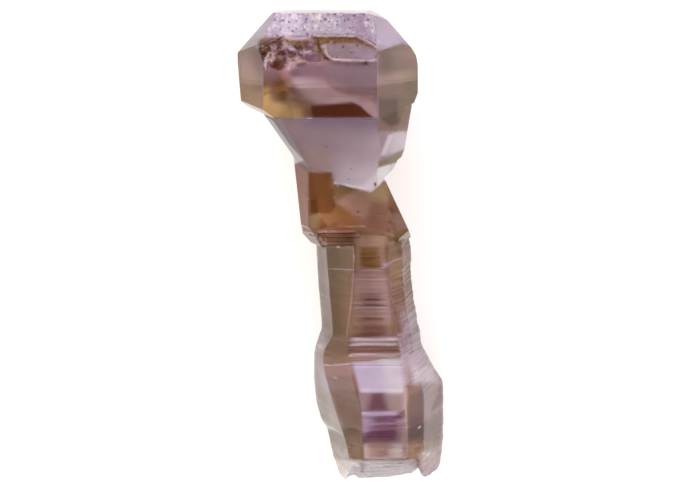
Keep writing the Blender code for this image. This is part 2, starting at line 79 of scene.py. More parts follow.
# Heights along the c axis where one part of the crystal ends and the next begins, and the lean of the tip's
# front face.
FOOT_TOP = 2.2
STEM_TOP = 25.6
WAIST = 38.95
SHOULDER = 44.8
TIP_LEAN = math.radians(38.2)
# Where the stem's middle panel and the panels on its right begin, along X.
MIDDLE_PANEL = 1.4
RIGHT_PANELS = 6.4
# The heights between which the growth lines begin, on the middle panel and on the panels on its right.
MIDDLE_LINES = (12.0, 12.8)
RIGHT_LINES = (9.0, 10.5)


# ---- the refined skin
# The longest edges that the skin may have along X, Y and Z, in millimetres.
SKIN_BACK = (1.2, 1.2, 1.2)  # on what looks down
SKIN_FRONT = (0.3, 0.3, 0.3)  # on what looks up
SKIN_STEM = (0.5, 0.16, 0.5)  # on the stem, whose growth lines run across
SKIN_TIP = (0.17, 0.17, 0.17)  # on the rough tip
SAME_PLACE = 0.0005  # corners that are closer than this are one
SAME_FACE = math.radians(0.2)  # triangles that meet at less than this are one flat face
SHARP_EDGE = math.radians(14.0)  # faces that meet at more than this meet in a sharp edge


def longest_edges(places):
    """How long an edge may be along X, Y and Z at each place."""
    x, y, z = places.T
    longest = np.tile(SKIN_BACK, (len(places), 1))
    longest[z > -0.4] = SKIN_FRONT
    longest[(z > -0.2) & (y < STEM_TOP + 0.4)] = SKIN_STEM
    in_front = z > 1.0
    longest[in_front & (y > SHOULDER - 0.2) & (x < 4.6)] = SKIN_TIP
    longest[in_front & (y > SHOULDER - 1.4) & (x < -2.2)] = SKIN_TIP
    return longest


def split_edges(points, faces):
    """Splits every edge that is longer than it may be, and the triangles beside it, until none is."""
    while True:
        sides = np.sort(np.stack((faces, np.roll(faces, -1, axis=1)), axis=2), axis=2)
        names, side = np.unique(sides[..., 0] * len(points) + sides[..., 1], return_inverse=True)
        start, end = points[names // len(points)], points[names % len(points)]
        too_long = np.linalg.norm((end - start) / longest_edges((start + end) / 2.0), axis=1) > 1.0
        if not too_long.any():
            return points, faces
        middle = np.where(too_long, len(points) + np.cumsum(too_long) - 1, -1)[side].reshape(faces.shape)
        points = np.vstack((points, (start[too_long] + end[too_long]) / 2.0))
        faces = cut_triangles(faces, middle)


def cut_triangles(faces, middle):
    """The triangles, cut at the new points in the middle of their sides. A side without one has -1."""
    cuts = np.sum(middle >= 0, axis=1)
    # Each is turned so that a lone cut is on its first side, and a lone whole side is its last.
    first = np.where(cuts == 1, np.argmax(middle >= 0, axis=1), np.argmin(middle >= 0, axis=1) + 1)
    turn = (first[:, None] + np.arange(3)) % 3
    a, b, c = np.take_along_axis(faces, turn, axis=1).T
    ab, bc, ca = np.take_along_axis(middle, turn, axis=1).T
    pieces = {
        0: ((a, b, c),),
        1: ((a, ab, c), (ab, b, c)),
        2: ((ab, b, bc), (a, ab, bc), (a, bc, c)),
        3: ((a, ab, ca), (ab, b, bc), (ca, bc, c), (ab, bc, ca)),
    }
    made = [np.stack(piece, axis=1)[cuts == count] for count in pieces for piece in pieces[count]]
    return np.concatenate(made)


def refined_skin(node):
    """The points and triangles of the crystal's mesh in its own frame, cut finely enough for its relief."""
    body = bmesh.new()
    body.from_mesh(node.data)
    bmesh.ops.transform(body, matrix=TO_CRYSTAL, verts=body.verts)
    bmesh.ops.remove_doubles(body, verts=body.verts, dist=SAME_PLACE)
    bmesh.ops.dissolve_limit(body, angle_limit=SAME_FACE, verts=body.verts, edges=body.edges)
    bmesh.ops.triangulate(body, faces=body.faces[:])
    points = np.array([v.co for v in body.verts])
    faces = np.array([[v.index for v in f.verts] for f in body.faces])
    body.free()
    return split_edges(points, faces)


def normals_of(points, faces):
    """The skin's normal at each point, from the triangles around it."""
    a, b, c = points[faces[:, 0]], points[faces[:, 1]], points[faces[:, 2]]
    across = np.cross(b - a, c - a)
    total = np.zeros(points.shape)
    for corner in faces.T:
        for axis in range(3):
            total[:, axis] += np.bincount(corner, across[:, axis], len(points))
    return total / np.maximum(np.linalg.norm(total, axis=1, keepdims=True), 1e-12)


def smooth(low, high, value):
    """0 below low, 1 above high, and a smooth rise between them."""
    share = np.clip((value - low) / (high - low), 0.0, 1.0)
    return share * share * (3.0 - 2.0 * share)


def scrambled(cells, seed):
    """A random number from 0 to 1 for each cell, given by its whole-number coordinates."""
    mixed = np.full(len(cells), seed * 7919 + 17, np.uint64)
    for column, factor in zip(cells.T, (73856093, 19349663, 83492791)):
        mixed = (mixed ^ (column.astype(np.uint64) * np.uint64(factor))) * np.uint64(6364136223846793005)
        mixed ^= mixed >> np.uint64(29)
    return (mixed % np.uint64(100003)).astype(float) / 100003.0


def noise_at(points, size, seed):
    """Smooth noise from -1 to 1 at each point, with features of that size in millimetres."""
    scaled = points / size + 500.0
    cells = np.floor(scaled)
    share = scaled - cells
    share = share * share * (3.0 - 2.0 * share)
    total = np.zeros(len(points))
    for corner in np.ndindex(2, 2, 2):
        weight = np.prod(np.where(np.array(corner) == 1, share, 1.0 - share), axis=1)
        total += weight * scrambled(cells + corner, seed)
    return 2.0 * total - 1.0


def growth_height(points):
    """The height of the growth line through each place. On the stem's right the lines slope up."""
    x, y, _ = points.T
    return y - 0.32 * np.clip(x - 6.2, 0.0, None)


def on_stem(points, normals):
    """1 on the sides of the stem, which growth lines cross, and 0 elsewhere."""
    y = points[:, 1]
    sides = 1.0 - smooth(0.5, 0.8, np.abs(normals[:, 1]))
    return smooth(1.2, 2.4, y) * (1.0 - smooth(STEM_TOP - 0.6, STEM_TOP + 0.6, y)) * sides


def lined(points, normals):
    """How strongly growth lines cross each place, from 0 to 1. They are clear on the middle panel above the
    violet window and faint from there down, and come and go on the panels on its right. The left panels have
    none."""
    x, y, _ = points.T
    patches = smooth(-0.2, 0.6, noise_at(points, 1.6, seed=13))
    faint = 1.0 - smooth(*MIDDLE_LINES, y)
    middle = 0.7 - (0.62 - 0.3 * smooth(4.0, 5.6, x)) * faint
    right = 0.6 * patches * smooth(*RIGHT_LINES, y)
    strength = np.where(x > RIGHT_PANELS, right, np.where(x > MIDDLE_PANEL, middle, 0.0))
    return on_stem(points, normals) * strength


def growth_lines(points, normals):
    """How far the skin stands out along its normal for the growth lines across the stem, in millimetres."""
    x, y, z = points.T
    height = growth_height(points)
    # Lines on different panels have nothing to do with each other, so each group takes its noise elsewhere.
    side = np.where(x > RIGHT_PANELS, 40.0, np.where(x < MIDDLE_PANEL, 80.0, 0.0))
    line = np.stack((height, side, 0.0 * x), axis=1)
    fine = noise_at(line, (0.2, 1.0, 1.0), seed=3)
    coarse = noise_at(line, (0.75, 1.0, 1.0), seed=8)
    right = smooth(*RIGHT_LINES, y) + 0.04
    middle = 1.0 - 0.6 * (1.0 - smooth(*MIDDLE_LINES, y))
    depth = np.where(x > RIGHT_PANELS, right, np.where(x > MIDDLE_PANEL, middle, 0.03))
    fine_skin = smooth(-0.2, 0.2, z)
    return fine_skin * on_stem(points, normals) * depth * (0.03 * fine + 0.05 * coarse)


# ---- the rough tip
# The tip's front face in its own frame: u to the right, and v up the face from the shoulder. PLATE_EDGE and
# SHELF_EDGE are the lips of its two layers of growth. A deep pit has its u, its v and its radius.
PLATE_EDGE = ((-1.9, 1.1), (-1.7, 0.75), (-1.1, 0.3), (-0.5, 0.08), (1.0, 0.12), (2.2, 0.02), (4.1, 0.1))
SHELF_EDGE = (
    (-7.6, 1.45), (-7.0, 1.85), (-5.6, 2.6), (-4.8, 2.35), (-3.8, 2.42), (-2.95, 2.45), (-2.7, 2.85),
    (-0.5, 2.85), (1.5, 2.9), (2.6, 2.35), (3.9, 1.4),
)
DEEP_PITS = ((-6.1, -0.15, 0.45), (-5.6, 1.0, 0.3), (-7.5, 0.7, 0.3), (-4.6, 0.2, 0.25), (2.6, -0.2, 0.28))
PIT_COUNT = 46
PIT_SPACING = 0.55
HILLOCK_SPACING = 0.34


def on_tip(points):
    """Each place's u and v on the tip's front face."""
    down = (points[:, 1] - SHOULDER) / math.cos(TIP_LEAN)
    return points[:, 0], down


def distance_to_line(u, v, line):
    """How far each place is from a line of points, and whether it lies above the nearest stretch."""
    nearest = np.full(u.shape, 1e9)
    above = np.zeros(u.shape, bool)
    for (au, av), (bu, bv) in zip(line, line[1:]):
        du, dv = bu - au, bv - av
        share = np.clip(((u - au) * du + (v - av) * dv) / (du * du + dv * dv), 0.0, 1.0)
        off_u, off_v = u - au - share * du, v - av - share * dv
        far = np.hypot(off_u, off_v)
        above = np.where(far < nearest, du * off_v - dv * off_u > 0.0, above)
        nearest = np.minimum(nearest, far)
    return nearest, above


def rough_area(points, normals):
    """1 on the rough front face of the tip, and 0 elsewhere."""
    u, v = on_tip(points)
    facing = smooth(0.35, 0.5, normals[:, 1]) * smooth(0.1, 0.35, normals[:, 2])
    return facing * smooth(-0.3, 0.1, v) * (1.0 - smooth(3.6, 4.3, u + 0.25 * np.abs(v - 2.0)))


def hillocks(u, v):
    """Flat-sided growth hillocks: around each of many scattered places the face is tilted its own way. Each
    hillock also has a tone from 0 to 1, for how it catches the light."""
    cell_u, cell_v = np.floor(u / HILLOCK_SPACING), np.floor(v / HILLOCK_SPACING)
    nearest = np.full(u.shape, 1e9)
    height = np.zeros(u.shape)
    tone = np.zeros(u.shape)
    for step_u in (-1, 0, 1):
        for step_v in (-1, 0, 1):
            cells = np.stack((cell_u + step_u + 500, cell_v + step_v + 500), axis=1)
            centre_u = (cell_u + step_u + scrambled(cells, seed=1)) * HILLOCK_SPACING
            centre_v = (cell_v + step_v + scrambled(cells, seed=2)) * HILLOCK_SPACING
            far = np.hypot(u - centre_u, v - centre_v)
            tilt_u, tilt_v = scrambled(cells, seed=3) - 0.5, scrambled(cells, seed=4) - 0.5
            here = 0.5 * (tilt_u * (u - centre_u) + tilt_v * (v - centre_v)) + 0.1 * scrambled(cells, seed=5)
            height = np.where(far < nearest, here, height)
            tone = np.where(far < nearest, scrambled(cells, seed=6), tone)
            nearest = np.minimum(nearest, far)
    return height, tone


def pit_places():
    """The small pits scattered over the rough face: u, v and radius."""
    rng = random.Random(SEED)
    found = list(DEEP_PITS)
    while len(found) < PIT_COUNT:
        u, v, radius = rng.uniform(-6.9, 3.0), rng.uniform(0.2, 5.4), rng.uniform(0.1, 0.2)
        if all(math.hypot(u - a, v - b) > PIT_SPACING for a, b, _ in found):
            found.append((u, v, radius))
    return found


def pitted(u, v):
    """How deep in a pit each place is, from 0 outside to 1 at the bottom."""
    depth = np.zeros(u.shape)
    for pit_u, pit_v, radius in pit_places():
        depth = np.maximum(depth, 1.0 - np.hypot(u - pit_u, v - pit_v) / radius)
    return np.clip(depth, 0.0, 1.0)


def ridge(u, v):
    """1 on the narrow bright lips of the two layers of growth, and 0 elsewhere."""
    found = np.zeros(u.shape)
    for line in (PLATE_EDGE, SHELF_EDGE):
        far, above = distance_to_line(u, v, line)
        found = np.maximum(found, 1.0 - smooth(0.05, 0.13, np.where(above, far, 1.4 * far)))
    return found


def broken_area(u, v):
    """1 on the most uneven part of the tip's front face, and 0 elsewhere."""
    return inside(u, v, ((-7.8, 2.2), (-2.4, 2.0), (-2.0, 0.4), (-3.5, -0.7), (-7.8, -0.7)), 0.6)


def tip_relief(points, normals):
    """How far the rough tip's skin stands out along its normal, in millimetres."""
    u, v = on_tip(points)
    upper = smooth(1.5, 3.0, v)
    bumpy = 0.55 * upper + 1.3 * broken_area(u, v) + 0.3
    return rough_area(points, normals) * (
        bumpy * (hillocks(u, v)[0] - 0.04) - 0.22 * pitted(u, v) + 0.09 * ridge(u, v) * smooth(-0.2, 0.1, v)
    )


def foot_relief(points):
    """The crumbly surface of the broken foot, in millimetres."""
    foot = 1.0 - smooth(FOOT_TOP - 0.6, FOOT_TOP + 0.4, points[:, 1])
    return foot * (0.06 * noise_at(points, 0.4, seed=4) + 0.03 * noise_at(points, 0.2, seed=5))


# ---- colour
def linear(colour):
    """A colour given in sRGB hex as linear red, green and blue."""
    values = [int(colour[i : i + 2], 16) / 255.0 for i in (1, 3, 5)]
    return np.array([v / 12.92 if v <= 0.04045 else ((v + 0.055) / 1.055) ** 2.4 for v in values])


def inside(across, up, outline, soft):
    """1 within the outline and 0 outside it, with a soft edge of that width."""
    nearest = np.full(across.shape, 1e9)
    within = np.zeros(across.shape, bool)
    for (ax, ay), (bx, by) in zip(outline, outline[1:] + outline[:1]):
        dx, dy = bx - ax, by - ay
        share = np.clip(((across - ax) * dx + (up - ay) * dy) / (dx * dx + dy * dy), 0.0, 1.0)
        nearest = np.minimum(nearest, np.hypot(across - ax - share * dx, up - ay - share * dy))
        if dy:
            within ^= ((ay > up) != (by > up)) & (across < dx * (up - ay) / dy + ax)
    return smooth(-soft / 2.0, soft / 2.0, np.where(within, nearest, -nearest))


def box(left, low, right, high):
    """The outline of an upright box."""
    return ((left, low), (right, low), (right, high), (left, high))


# The colours of the quartz: smoky and amber where radiation and iron oxides browned it, and violet where
# radiation acted on iron in it. Some of them also serve as painted shade, painted highlights and painted
# reflections.
QUARTZ_AND_PAINTED_LIGHT = {
    "umber": "#3C1508",
    "dark smoky": "#5E3A1A",
    "smoky": "#7A5530",
    "olive": "#857046",
    "gold": "#BC965A",
    "amber": "#996532",
    "rust": "#A3603A",
    "brick": "#6C4238",
    "tan": "#A8886E",
    "grey tan": "#9A8672",
    "rose brown": "#8C6258",
    "rose": "#AC8A86",
    "mauve": "#92717A",
    "grey mauve": "#8F7C84",
    "violet grey": "#A4929E",
    "purple": "#744C68",
    "wine": "#58303F",
    "lavender": "#BCA2C4",
    "pale lavender": "#D0C3DC",
    "frost": "#E6DDE2",
    "ivory": "#EFE8DC",
    "white": "#FFFFFF",
    "chestnut": "#6F3C1C",
    "olive brown": "#745430",
    "olive gold": "#A88E62",
    "beige": "#9C8676",
    "sienna": "#9E6240",
    "rosy tan": "#AE8472",
    "pale rose": "#C4A2A0",
    "peach": "#EBCDBB",
    "lilac grey": "#BBA8B6",
    "clay": "#8A6050",
    "dusk": "#6A5F78",
    "pink white": "#F6E4EA",
}

# Each face of the crystal is an outline in the front view and the zones of colour within it. Each zone: its
# colour, how strongly it covers what lies under it, the width of its soft edge, and its outline.
LEFT_SIDE = (
    ((-10.8, 44.4), (-8.3, 43.3), (-7.65, 42.0), (-7.65, 36.4), (-10.8, 38.2)),
    ("beige", 1.0, 0.3, box(-10.8, 36.0, -7.0, 44.6)),
    ("olive gold", 1.0, 2.4, ((-10.8, 40.2), (-8.6, 39.8), (-7.0, 38.8), (-7.0, 35.0), (-10.8, 35.4))),
    ("gold", 0.4, 1.4, ((-10.2, 39.2), (-8.2, 38.8), (-8.0, 36.4), (-10.2, 37.6))),
    ("brick", 0.75, 1.2, ((-8.7, 44.0), (-7.4, 43.4), (-7.4, 38.6), (-8.3, 38.8))),
)
TOP = (
    (
        (-6.4, 47.8), (-10.2, 43.9), (-9.8, 42.8), (-8.4, 43.0), (-7.65, 41.3), (3.8, 41.3), (3.85, 42.5),
        (6.2, 43.4), (8.2, 42.6), (2.6, 47.8),
    ),
    ("lilac grey", 1.0, 0.5, box(-10.6, 42.0, -6.0, 48.0)),
    ("pale lavender", 1.0, 0.4, (
        (-7.4, 48.0), (2.5, 48.0), (3.8, 42.8), (1.6, 44.0), (-2.8, 44.1), (-8.6, 43.9),
    )),
    ("white", 0.85, 0.35, ((-7.2, 47.9), (2.5, 47.9), (2.3, 46.8), (-1.0, 46.65), (-6.9, 46.7))),
    ("lavender", 0.8, 1.4, ((0.4, 46.4), (2.4, 46.6), (3.6, 43.4), (1.4, 44.2))),
    ("pale lavender", 1.0, 0.15, ((2.4, 48.0), (9.0, 43.0), (6.2, 43.2), (3.7, 42.4))),
    ("frost", 0.4, 0.9, ((3.0, 47.0), (7.4, 43.4), (5.6, 44.2))),
    # the rough lower half, under the shelf
    ("mauve", 1.0, 0.5, (
        (-8.1, 43.6), (-5.6, 44.0), (-4.6, 43.5), (-2.8, 43.7), (-2.4, 44.1), (-0.4, 44.1), (1.6, 44.0),
        (3.9, 42.7), (3.9, 41.0), (-7.8, 41.0),
    )),
    ("dark smoky", 0.8, 0.5, ((-8.2, 43.6), (-5.9, 43.9), (-5.6, 43.2), (-7.3, 42.2), (-7.7, 41.2))),
    ("purple", 0.7, 1.0, ((-6.4, 43.2), (-2.4, 43.2), (-2.4, 41.2), (-5.4, 40.8))),
    ("umber", 0.8, 0.4, box(-6.2, 42.2, -5.5, 42.9)),
    ("umber", 0.7, 0.3, ((-8.1, 42.2), (-7.8, 42.2), (-7.5, 41.3), (-7.8, 41.3))),
    # painted shade on the riser under the left of the shelf's lip, which faces down
    ("smoky", 0.85, 0.3, (
        (-5.6, 43.9), (-4.6, 43.45), (-3.0, 43.6), (-3.0, 43.2), (-4.4, 42.9), (-5.4, 43.2),
    )),
    # painted shade on the riser under the shelf's lip, which faces down
    ("smoky", 0.85, 0.4, (
        (-2.6, 44.0), (1.6, 43.9), (3.5, 42.8), (1.4, 43.3), (-1.2, 43.2), (-1.5, 41.8), (-2.4, 42.4),
    )),
    ("violet grey", 0.7, 0.5, (
        (-1.4, 43.2), (1.4, 43.3), (2.7, 42.9), (3.6, 42.4), (3.5, 41.7), (-0.4, 41.7), (-1.4, 42.4),
    )),
    # painted shadow under the plate's lip
    ("dark smoky", 0.6, 0.4, ((-1.7, 42.0), (-0.6, 41.3), (3.2, 41.2), (3.2, 41.5), (-0.6, 41.6))),
)
RIGHT_SIDE = (
    ((3.8, 42.5), (6.2, 43.4), (8.4, 42.7), (8.4, 35.6), (7.0, 34.6), (3.8, 34.6)),
    ("rose brown", 1.0, 0.3, box(3.5, 34.0, 8.5, 43.6)),
    ("brick", 0.8, 1.4, ((3.9, 42.6), (6.0, 42.8), (5.6, 40.0), (3.9, 39.6))),
    ("beige", 0.8, 2.0, ((5.4, 43.6), (8.6, 42.8), (8.6, 38.4), (5.8, 38.2))),
    ("olive", 0.8, 1.8, ((6.2, 40.6), (8.6, 40.4), (8.6, 35.8), (6.2, 36.6))),
    ("beige", 0.6, 1.2, ((3.7, 39.8), (6.4, 40.0), (6.4, 38.4), (3.7, 38.2))),
    ("umber", 1.0, 0.6, ((3.6, 37.9), (5.9, 37.9), (5.9, 36.3), (6.5, 35.4), (5.0, 35.0), (3.6, 36.0))),
    ("smoky", 0.7, 0.9, ((5.9, 38.0), (7.2, 37.8), (6.8, 35.0), (6.0, 35.2))),
)
FRONT = (
    ((-7.65, 41.5), (3.8, 41.5), (3.8, 35.95), (-7.65, 35.95)),
    ("mauve", 1.0, 0.5, box(-8.0, 35.0, 4.2, 42.0)),
    ("grey mauve", 0.5, 1.0, ((-1.6, 41.2), (3.8, 41.2), (3.8, 38.4), (0.4, 38.4), (-1.0, 39.8))),
    ("purple", 0.6, 1.1, ((-6.8, 42.0), (-4.8, 42.0), (-4.0, 39.9), (-5.8, 39.6))),
    ("rose brown", 0.5, 1.8, box(-8.0, 38.8, -4.8, 41.0)),
    ("pale rose", 0.8, 1.3, (
        (-4.6, 39.3), (-0.8, 39.3), (0.6, 38.5), (3.2, 38.1), (2.2, 37.2), (-2.6, 37.0),
    )),
    ("pale rose", 0.5, 0.4, (
        (-0.6, 38.3), (1.4, 38.1), (3.4, 38.5), (3.2, 38.0), (1.6, 37.6), (-0.4, 37.7),
    )),
    ("rose brown", 0.7, 0.45, (
        (-1.6, 40.4), (-0.8, 39.3), (0.4, 38.75), (3.6, 38.35), (3.6, 37.95), (0.2, 38.3), (-1.2, 39.0),
    )),
    ("olive brown", 0.85, 1.4, (
        (-8.2, 39.6), (-5.3, 39.7), (-4.0, 38.1), (-2.6, 37.4), (-2.4, 35.0), (-8.2, 35.0),
    )),
    ("gold", 0.95, 0.8, (
        (-8.0, 38.9), (-7.2, 38.9), (-6.8, 37.7), (-5.4, 37.2), (-4.8, 36.5), (-4.5, 35.2), (-8.0, 35.2),
    )),
    ("gold", 0.5, 0.9, ((-5.2, 37.0), (-3.8, 36.8), (-3.6, 35.2), (-5.0, 35.2))),
    ("dark smoky", 0.85, 0.9, ((-6.6, 39.4), (-5.6, 39.5), (-5.1, 38.2), (-5.5, 37.5), (-6.3, 37.7))),
    ("umber", 0.45, 1.4, ((-3.8, 37.1), (-1.6, 37.4), (-1.6, 35.2), (-3.6, 35.2))),
    # a dark band across the head's front face: painted shade, where the head's lower faces turn the light
    # back inside the crystal
    ("umber", 1.0, 0.35, ((-2.9, 37.15), (1.3, 37.5), (2.2, 37.1), (3.4, 36.0), (3.6, 35.4), (-2.7, 35.4))),
    ("rose", 0.85, 0.25, ((1.5, 37.9), (2.7, 38.0), (3.4, 37.2), (3.8, 35.9), (3.4, 35.9), (2.5, 36.8))),
)
NECK = (
    ((-5.2, 32.0), (-3.3, 30.6), (5.4, 30.4), (7.4, 24.6), (6.8, 23.2), (-2.0, 22.9), (-4.8, 25.0)),
    ("clay", 1.0, 0.2, box(-5.4, 22.0, 7.6, 32.2)),
    ("rosy tan", 1.0, 0.4, ((-5.4, 32.4), (-3.1, 30.7), (-2.9, 24.2), (-5.0, 24.6))),
    ("rosy tan", 0.8, 1.0, ((-0.6, 29.4), (3.6, 29.4), (3.2, 27.2), (2.4, 25.8), (0.8, 26.6), (-0.2, 27.4))),
    ("olive gold", 0.6, 1.0, ((2.8, 28.4), (4.8, 29.8), (5.6, 27.6), (3.0, 27.6))),
    ("brick", 0.3, 1.2, ((3.0, 27.4), (5.8, 27.4), (6.6, 24.8), (4.6, 24.2), (3.0, 25.0))),
    ("rose", 0.4, 0.7, ((5.4, 26.4), (6.4, 26.0), (6.9, 24.6), (5.6, 24.6))),
    ("sienna", 1.0, 0.7, (
        (-3.0, 27.0), (-1.0, 26.8), (0.0, 27.3), (1.4, 26.4), (2.0, 25.2), (1.6, 24.5), (-2.8, 24.5),
    )),
    ("amber", 0.7, 0.6, ((-1.0, 26.8), (0.2, 27.0), (0.7, 26.0), (-0.6, 25.6))),
    ("amber", 0.5, 0.8, box(-2.2, 25.5, -0.9, 26.5)),
    ("olive gold", 0.8, 0.6, box(-2.9, 24.7, -2.0, 26.6)),
    ("gold", 0.5, 0.5, box(-2.7, 25.0, -2.1, 26.4)),
    ("chestnut", 0.7, 0.35, ((-2.0, 24.9), (-0.2, 25.0), (-0.3, 25.5), (-1.2, 25.3), (-2.0, 25.3))),
    ("olive brown", 0.8, 0.6, ((1.4, 25.4), (2.4, 25.0), (3.4, 24.2), (3.2, 23.6), (1.4, 24.0))),
    ("olive brown", 0.9, 0.6, (
        (-0.8, 30.6), (1.0, 29.8), (2.0, 28.9), (0.5, 28.2), (-0.3, 27.6), (-0.9, 28.4),
    )),
    ("chestnut", 1.0, 0.3, (
        (-3.15, 30.5), (-0.6, 30.5), (-0.3, 29.3), (-0.7, 28.1), (-0.4, 27.1), (-1.0, 26.4), (-3.0, 26.4),
    )),
    ("sienna", 0.5, 0.4, box(-1.0, 28.9, -0.5, 30.2)),
    ("dark smoky", 0.8, 0.35, ((-2.8, 24.4), (1.5, 24.5), (1.5, 22.6), (-2.0, 22.6))),
    ("tan", 0.7, 0.8, ((1.6, 24.4), (4.6, 24.2), (6.6, 24.6), (6.8, 22.8), (1.6, 22.8))),
    ("olive brown", 0.8, 0.3, ((5.3, 24.5), (6.9, 24.9), (7.0, 22.8), (5.5, 22.8))),
)
UNDERSIDE = (
    (
        (-7.75, 36.6), (-7.65, 35.95), (3.8, 35.95), (4.7, 34.6), (4.1, 32.2), (4.4, 30.0), (3.1, 28.75),
        (1.8, 28.9), (-0.6, 29.4), (-0.8, 30.5), (-3.2, 30.6), (-3.6, 31.7), (-5.0, 33.3), (-6.6, 35.6),
    ),
    ("grey mauve", 1.0, 0.25, box(-8.0, 28.0, 5.2, 36.4)),
    ("violet grey", 0.9, 3.0, ((-0.5, 34.0), (4.6, 35.0), (4.6, 28.0), (-0.5, 28.0))),
    ("dusk", 0.6, 1.8, ((-3.6, 36.6), (4.6, 36.4), (4.6, 34.6), (-3.6, 34.8))),
    ("lilac grey", 1.0, 2.8, ((-0.8, 31.6), (4.8, 32.0), (4.8, 27.0), (-0.8, 27.0))),
    ("frost", 0.35, 1.6, ((-0.6, 30.6), (4.4, 31.4), (4.8, 27.4), (-0.6, 27.4))),
    ("rose", 0.5, 1.2, ((-3.8, 33.0), (-0.8, 32.4), (-0.6, 30.2), (-3.4, 30.4))),
    # the bright lower end of the underside: frosted quartz, made brighter by painted reflection
    ("frost", 0.9, 0.8, (
        (0.6, 29.0), (2.4, 29.3), (3.2, 29.9), (4.0, 31.0), (4.8, 29.8), (3.1, 28.0), (0.2, 28.2),
    )),
)
FACETS = (
    ((-10.8, 38.0), (-7.7, 36.5), (-6.6, 35.6), (-5.0, 33.3), (-3.6, 31.7), (-4.8, 31.3), (-8.0, 33.0)),
    # these small facets on the left are white: painted reflection
    ("white", 0.95, 0.15, box(-11.0, 31.0, -3.0, 38.0)),
)
RIGHT_FACETS = (
    ((4.0, 35.0), (6.8, 35.2), (6.6, 31.6), (4.4, 29.7), (3.75, 29.2), (3.7, 30.5)),
    ("violet grey", 1.0, 0.6, box(3.0, 29.0, 7.0, 35.4)),
    # the small facet low on the head's right is pale: painted reflection
    ("frost", 0.95, 0.3, ((4.8, 34.2), (6.8, 35.0), (6.8, 33.0), (4.7, 32.2), (4.1, 32.3))),
    ("olive", 1.0, 0.3, ((3.8, 31.6), (5.0, 32.0), (6.6, 33.0), (6.6, 32.1), (5.5, 31.5), (3.8, 31.0))),
    ("smoky", 0.6, 0.3, ((4.4, 31.7), (5.4, 32.2), (5.2, 31.8), (4.4, 31.4))),
    ("white", 1.0, 0.2, ((3.9, 31.0), (5.6, 31.5), (5.4, 30.2), (4.3, 29.4), (3.6, 28.9), (3.5, 30.3))),
)
